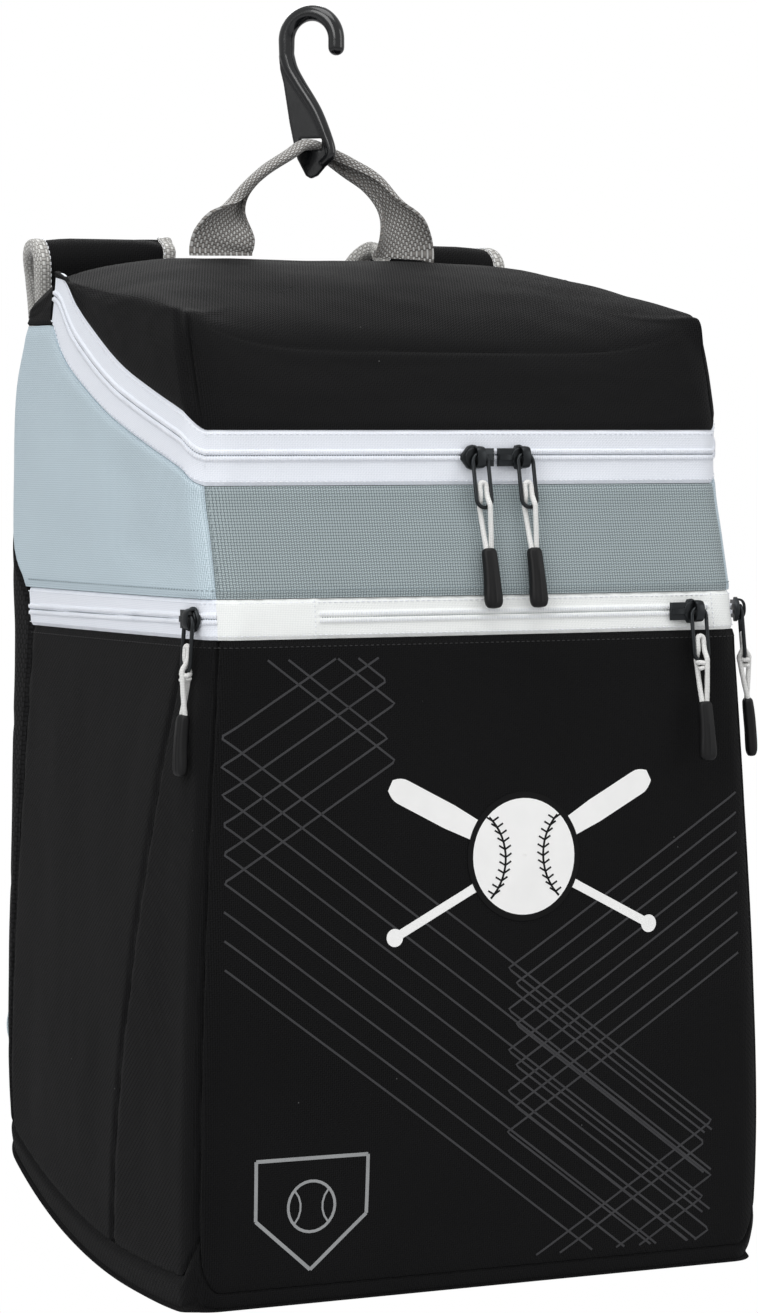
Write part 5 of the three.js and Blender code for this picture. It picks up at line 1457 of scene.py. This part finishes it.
class FrontPrint:
    def __init__(self):
        self.tree = None
        self.forms = []

    def place(self, flat, lift):
        if self.tree is None:
            mesh = bpy.data.objects["frontPanel"].data
            corners = [v.co for v in mesh.vertices]
            self.tree = BVHTree.FromPolygons(corners, [p.vertices for p in mesh.polygons])
        spots = []
        for x, z in np.asarray(flat).reshape(-1, 2):
            start = Vector(toModel((x, -90.0, z)))
            hit = self.tree.ray_cast(start, Vector((0.0, 1.0, 0.0)))[0]
            y = hit.y * 1000 + seat[1] if hit else float(shellPoint(1.5, z)[1])
            spots.append((x, y - lift, z))
        return np.array(spots).reshape(*np.asarray(flat).shape[:-1], 3)

    def slab(self, grid, lift):
        top, under = self.place(grid, lift), self.place(grid, lift - prints["film"])
        points = np.concatenate([top.reshape(-1, 3), under.reshape(-1, 3)])
        self.forms.append((points, sheetFaces(*grid.shape[:2])))

    # A band of a width, or of widths along it, through flat points
    def ribbon(self, points, width, lift, step=3.0):
        points = np.asarray(points, float)
        run = lengths(points)
        at = np.linspace(0, run[-1], max(2, int(run[-1] / step) + 1))
        line = np.stack([np.interp(at, run, points[:, k]) for k in (0, 1)], axis=1)
        ahead = np.gradient(line, axis=0)
        ahead /= np.linalg.norm(ahead, axis=1, keepdims=True)
        out = np.stack([-ahead[:, 1], ahead[:, 0]], axis=1)
        wide = np.broadcast_to(width(at / run[-1]) if callable(width) else width, len(at))[:, None] / 2
        self.slab(np.stack([line - out * wide, line, line + out * wide], axis=1), lift)

    def disc(self, centre, radius, lift):
        reach = np.linspace(0.04, 1, 9) * radius
        turn = np.linspace(0, 2 * np.pi, 49)
        x, z = reach[:, None] * np.cos(turn), reach[:, None] * np.sin(turn)
        self.slab(np.stack([centre[0] + x, centre[1] + z], axis=-1), lift)

    def finish(self, name, material):
        piece = mergeForms(name, self.forms, material)
        finishPiece(piece, "black_cloth")
        self.forms = []


def roundLine(x, z, radius, count):
    return [(x + radius * math.cos(t), z + radius * math.sin(t)) for t in np.linspace(0, 2 * math.pi, count)]


def printFront():
    film = FrontPrint()
    edge, teeth, down, up = prints["edges"], prints["teeth"], prints["down"], prints["up"]
    # Two bands of parallel lines that turn back at the panel's sides and at staggered rows of teeth
    for k in range(prints["lines"]):
        stagger = 4.5 * (k % 2)
        leftZ = 288.0 - prints["pitchLeft"] * k
        route = [(edge["left"], leftZ)]
        turnX = teeth["high"] + stagger
        turnZ = leftZ + (turnX - edge["left"]) * up
        if turnZ > edge["top"]:
            route.insert(0, (edge["left"] + (edge["top"] - leftZ) / up, edge["top"]))
        elif k < prints["turned"]:
            route = [(turnX - (edge["top"] - turnZ) / down, edge["top"]), (turnX, turnZ)] + route
        lowX = min(teeth["low"] - stagger, edge["left"] + (leftZ - edge["foot"]) / down)
        lowZ = leftZ - (lowX - edge["left"]) * down
        route.append((lowX, lowZ))
        if lowZ > edge["foot"] + 1:
            route.append((lowX - (lowZ - edge["foot"]) / up, edge["foot"]))
        film.ribbon(route, prints["lineWidth"], 0.14)
        rightZ = 250.0 - prints["pitchRight"] * k
        turnX = teeth["middle"] + stagger
        turnZ = rightZ - (edge["right"] - turnX) * up
        lowX = min(teeth["low"] - stagger, turnX + (turnZ - edge["foot"]) / down)
        route = [(edge["right"], rightZ), (turnX, turnZ), (lowX, turnZ - (lowX - turnX) * down)]
        film.ribbon(route, prints["lineWidth"], 0.155)
    film.finish("printLines", "inkTonal")
    # A plain ball over two crossed bats
    x, z, r = prints["ball"]
    half = prints["batLength"] / 2
    swell = lambda t: 8.4 * np.clip((t - 0.28) / 0.5, 0, 1) ** 1.4
    barrel = lambda t: 4.6 + swell(t) - 7.0 * np.clip((t - 0.955) / 0.045, 0, 1) ** 2
    for hand in (-1, 1):
        tilt = math.radians(prints["batTilt"])
        way = np.array((hand * math.cos(tilt), math.sin(tilt)))
        middle = np.array((x, z))
        film.ribbon([middle - way * half, middle + way * half], barrel, 0.18 if hand > 0 else 0.2, 2.0)
        film.disc(middle - way * (half - 1.5), 4.6, 0.22)
    film.disc((x, z), r, 0.42)
    film.finish("printEmblem", "inkWhite")
    film.ribbon(roundLine(x, z, r + 1.6, 73), 3.2, 0.36)
    for hand in (-1, 1):
        centre = x + hand * r * 1.32
        bow = hand * r * 0.95
        arc = [(centre - bow * math.cos(t), z + r * 0.95 * math.sin(t)) for t in np.linspace(-0.82, 0.82, 31)]
        film.ribbon(arc, 1.1, 0.55)
        for t in np.linspace(-0.72, 0.72, 11):
            spot = np.array((centre - bow * math.cos(t), z + r * 0.95 * math.sin(t)))
            for side in (-1, 1):
                film.ribbon([spot, spot + (side * 3.4, 2.0)], 0.9, 0.56)
    film.finish("printSeams", "inkBlack")
    # A small home plate with a ball in it, low on the left
    px, pz, pr = prints["plate"]
    plate = [(-1, 0.86), (1, 0.86), (1, -0.12), (0, -0.98), (-1, -0.12), (-1, 0.86)]
    for a, b in zip(plate[:-1], plate[1:]):
        film.ribbon([(px + a[0] * pr, pz + a[1] * pr), (px + b[0] * pr, pz + b[1] * pr)], 1.9, 0.18)
    film.ribbon(roundLine(px, pz + 2, 13, 49), 1.5, 0.18)
    for hand in (-1, 1):
        film.ribbon([(px + hand * 18 - hand * 12 * math.cos(t), pz + 2 + 12 * math.sin(t))
                     for t in np.linspace(-0.75, 0.75, 15)], 1.0, 0.18)
    film.finish("printPlate", "inkGrey")


printFront()
print("print ready")

# Stitches and coil teeth, one Geometry Nodes tree for all of them


def buildThreadRun():
    tree = bpy.data.node_groups.new("threadRun", "GeometryNodeTree")
    tree.interface.new_socket("Geometry", in_out="INPUT", socket_type="NodeSocketGeometry")
    inputs = (("Spacing", "NodeSocketFloat", 0.003), ("Size", "NodeSocketVector", (0.002, 0.0005, 0.0005)),
              ("Thread", "NodeSocketMaterial", None))
    for label, kind, value in inputs:
        socket = tree.interface.new_socket(label, in_out="INPUT", socket_type=kind)
        if value is not None:
            socket.default_value = value
    tree.interface.new_socket("Geometry", in_out="OUTPUT", socket_type="NodeSocketGeometry")
    inlet, outlet = tree.nodes.new("NodeGroupInput"), tree.nodes.new("NodeGroupOutput")
    add, link = tree.nodes.new, tree.links.new
    path = add("GeometryNodeMeshToCurve")
    link(inlet.outputs["Geometry"], path.inputs["Mesh"])
    even = add("GeometryNodeResampleCurve")
    even.mode = "LENGTH"
    link(path.outputs["Curve"], even.inputs["Curve"])
    link(inlet.outputs["Spacing"], even.inputs["Length"])
    facing = add("GeometryNodeInputNamedAttribute")
    facing.data_type = "FLOAT_VECTOR"
    facing.inputs["Name"].default_value = "facing"
    out = add("FunctionNodeAlignRotationToVector")
    out.axis = "Z"
    link(facing.outputs["Attribute"], out.inputs["Vector"])
    along = add("FunctionNodeAlignRotationToVector")
    along.axis = "X"
    along.pivot_axis = "Z"
    link(out.outputs["Rotation"], along.inputs["Rotation"])
    tangent = add("GeometryNodeInputTangent")
    link(tangent.outputs["Tangent"], along.inputs["Vector"])
    bead = add("GeometryNodeMeshUVSphere")
    bead.inputs["Segments"].default_value = 6
    bead.inputs["Rings"].default_value = 4
    bead.inputs["Radius"].default_value = 0.5
    smooth = add("GeometryNodeSetShadeSmooth")
    link(bead.outputs["Mesh"], smooth.inputs["Geometry"])
    spread = add("GeometryNodeInstanceOnPoints")
    link(even.outputs["Curve"], spread.inputs["Points"])
    link(smooth.outputs["Geometry"], spread.inputs["Instance"])
    link(along.outputs["Rotation"], spread.inputs["Rotation"])
    link(inlet.outputs["Size"], spread.inputs["Scale"])
    real = add("GeometryNodeRealizeInstances")
    link(spread.outputs["Instances"], real.inputs["Geometry"])
    dress = add("GeometryNodeSetMaterial")
    link(real.outputs["Geometry"], dress.inputs["Geometry"])
    link(inlet.outputs["Thread"], dress.inputs["Material"])
    link(dress.outputs["Geometry"], outlet.inputs["Geometry"])
    return tree


def sewRuns():
    tree = buildThreadRun()
    sockets = {item.name: item.identifier for item in tree.interface.items_tree if item.in_out == "INPUT"}
    for run in runs:
        points = toModel(run["points"])
        mesh = bpy.data.meshes.new(run["name"])
        mesh.from_pydata(points.tolist(), [(i, i + 1) for i in range(len(points) - 1)], [])
        facing = mesh.attributes.new("facing", "FLOAT_VECTOR", "POINT")
        facing.data.foreach_set("vector", np.asarray(run["facing"], float).ravel())
        piece = bpy.data.objects.new(run["name"], mesh)
        bpy.context.scene.collection.objects.link(piece)
        sewn = piece.modifiers.new("threadRun", "NODES")
        sewn.node_group = tree
        sewn[sockets["Spacing"]] = run["spacing"] * 0.001
        sewn[sockets["Size"]] = [s * 0.001 for s in run["size"]]
        sewn[sockets["Thread"]] = materials[run["material"]]
    graph = bpy.context.evaluated_depsgraph_get()
    for run in runs:
        piece = bpy.data.objects[run["name"]]
        made = bpy.data.meshes.new_from_object(piece.evaluated_get(graph))
        piece.modifiers.clear()
        piece.data = made
        finishPiece(piece, run["slot"])


sewRuns()
print("stitches ready")


# Finish


def lists(box):
    return [list(corner) for corner in box]


print("pieces finished")
{"cad": lists(cadBox), "visual": lists(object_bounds())}
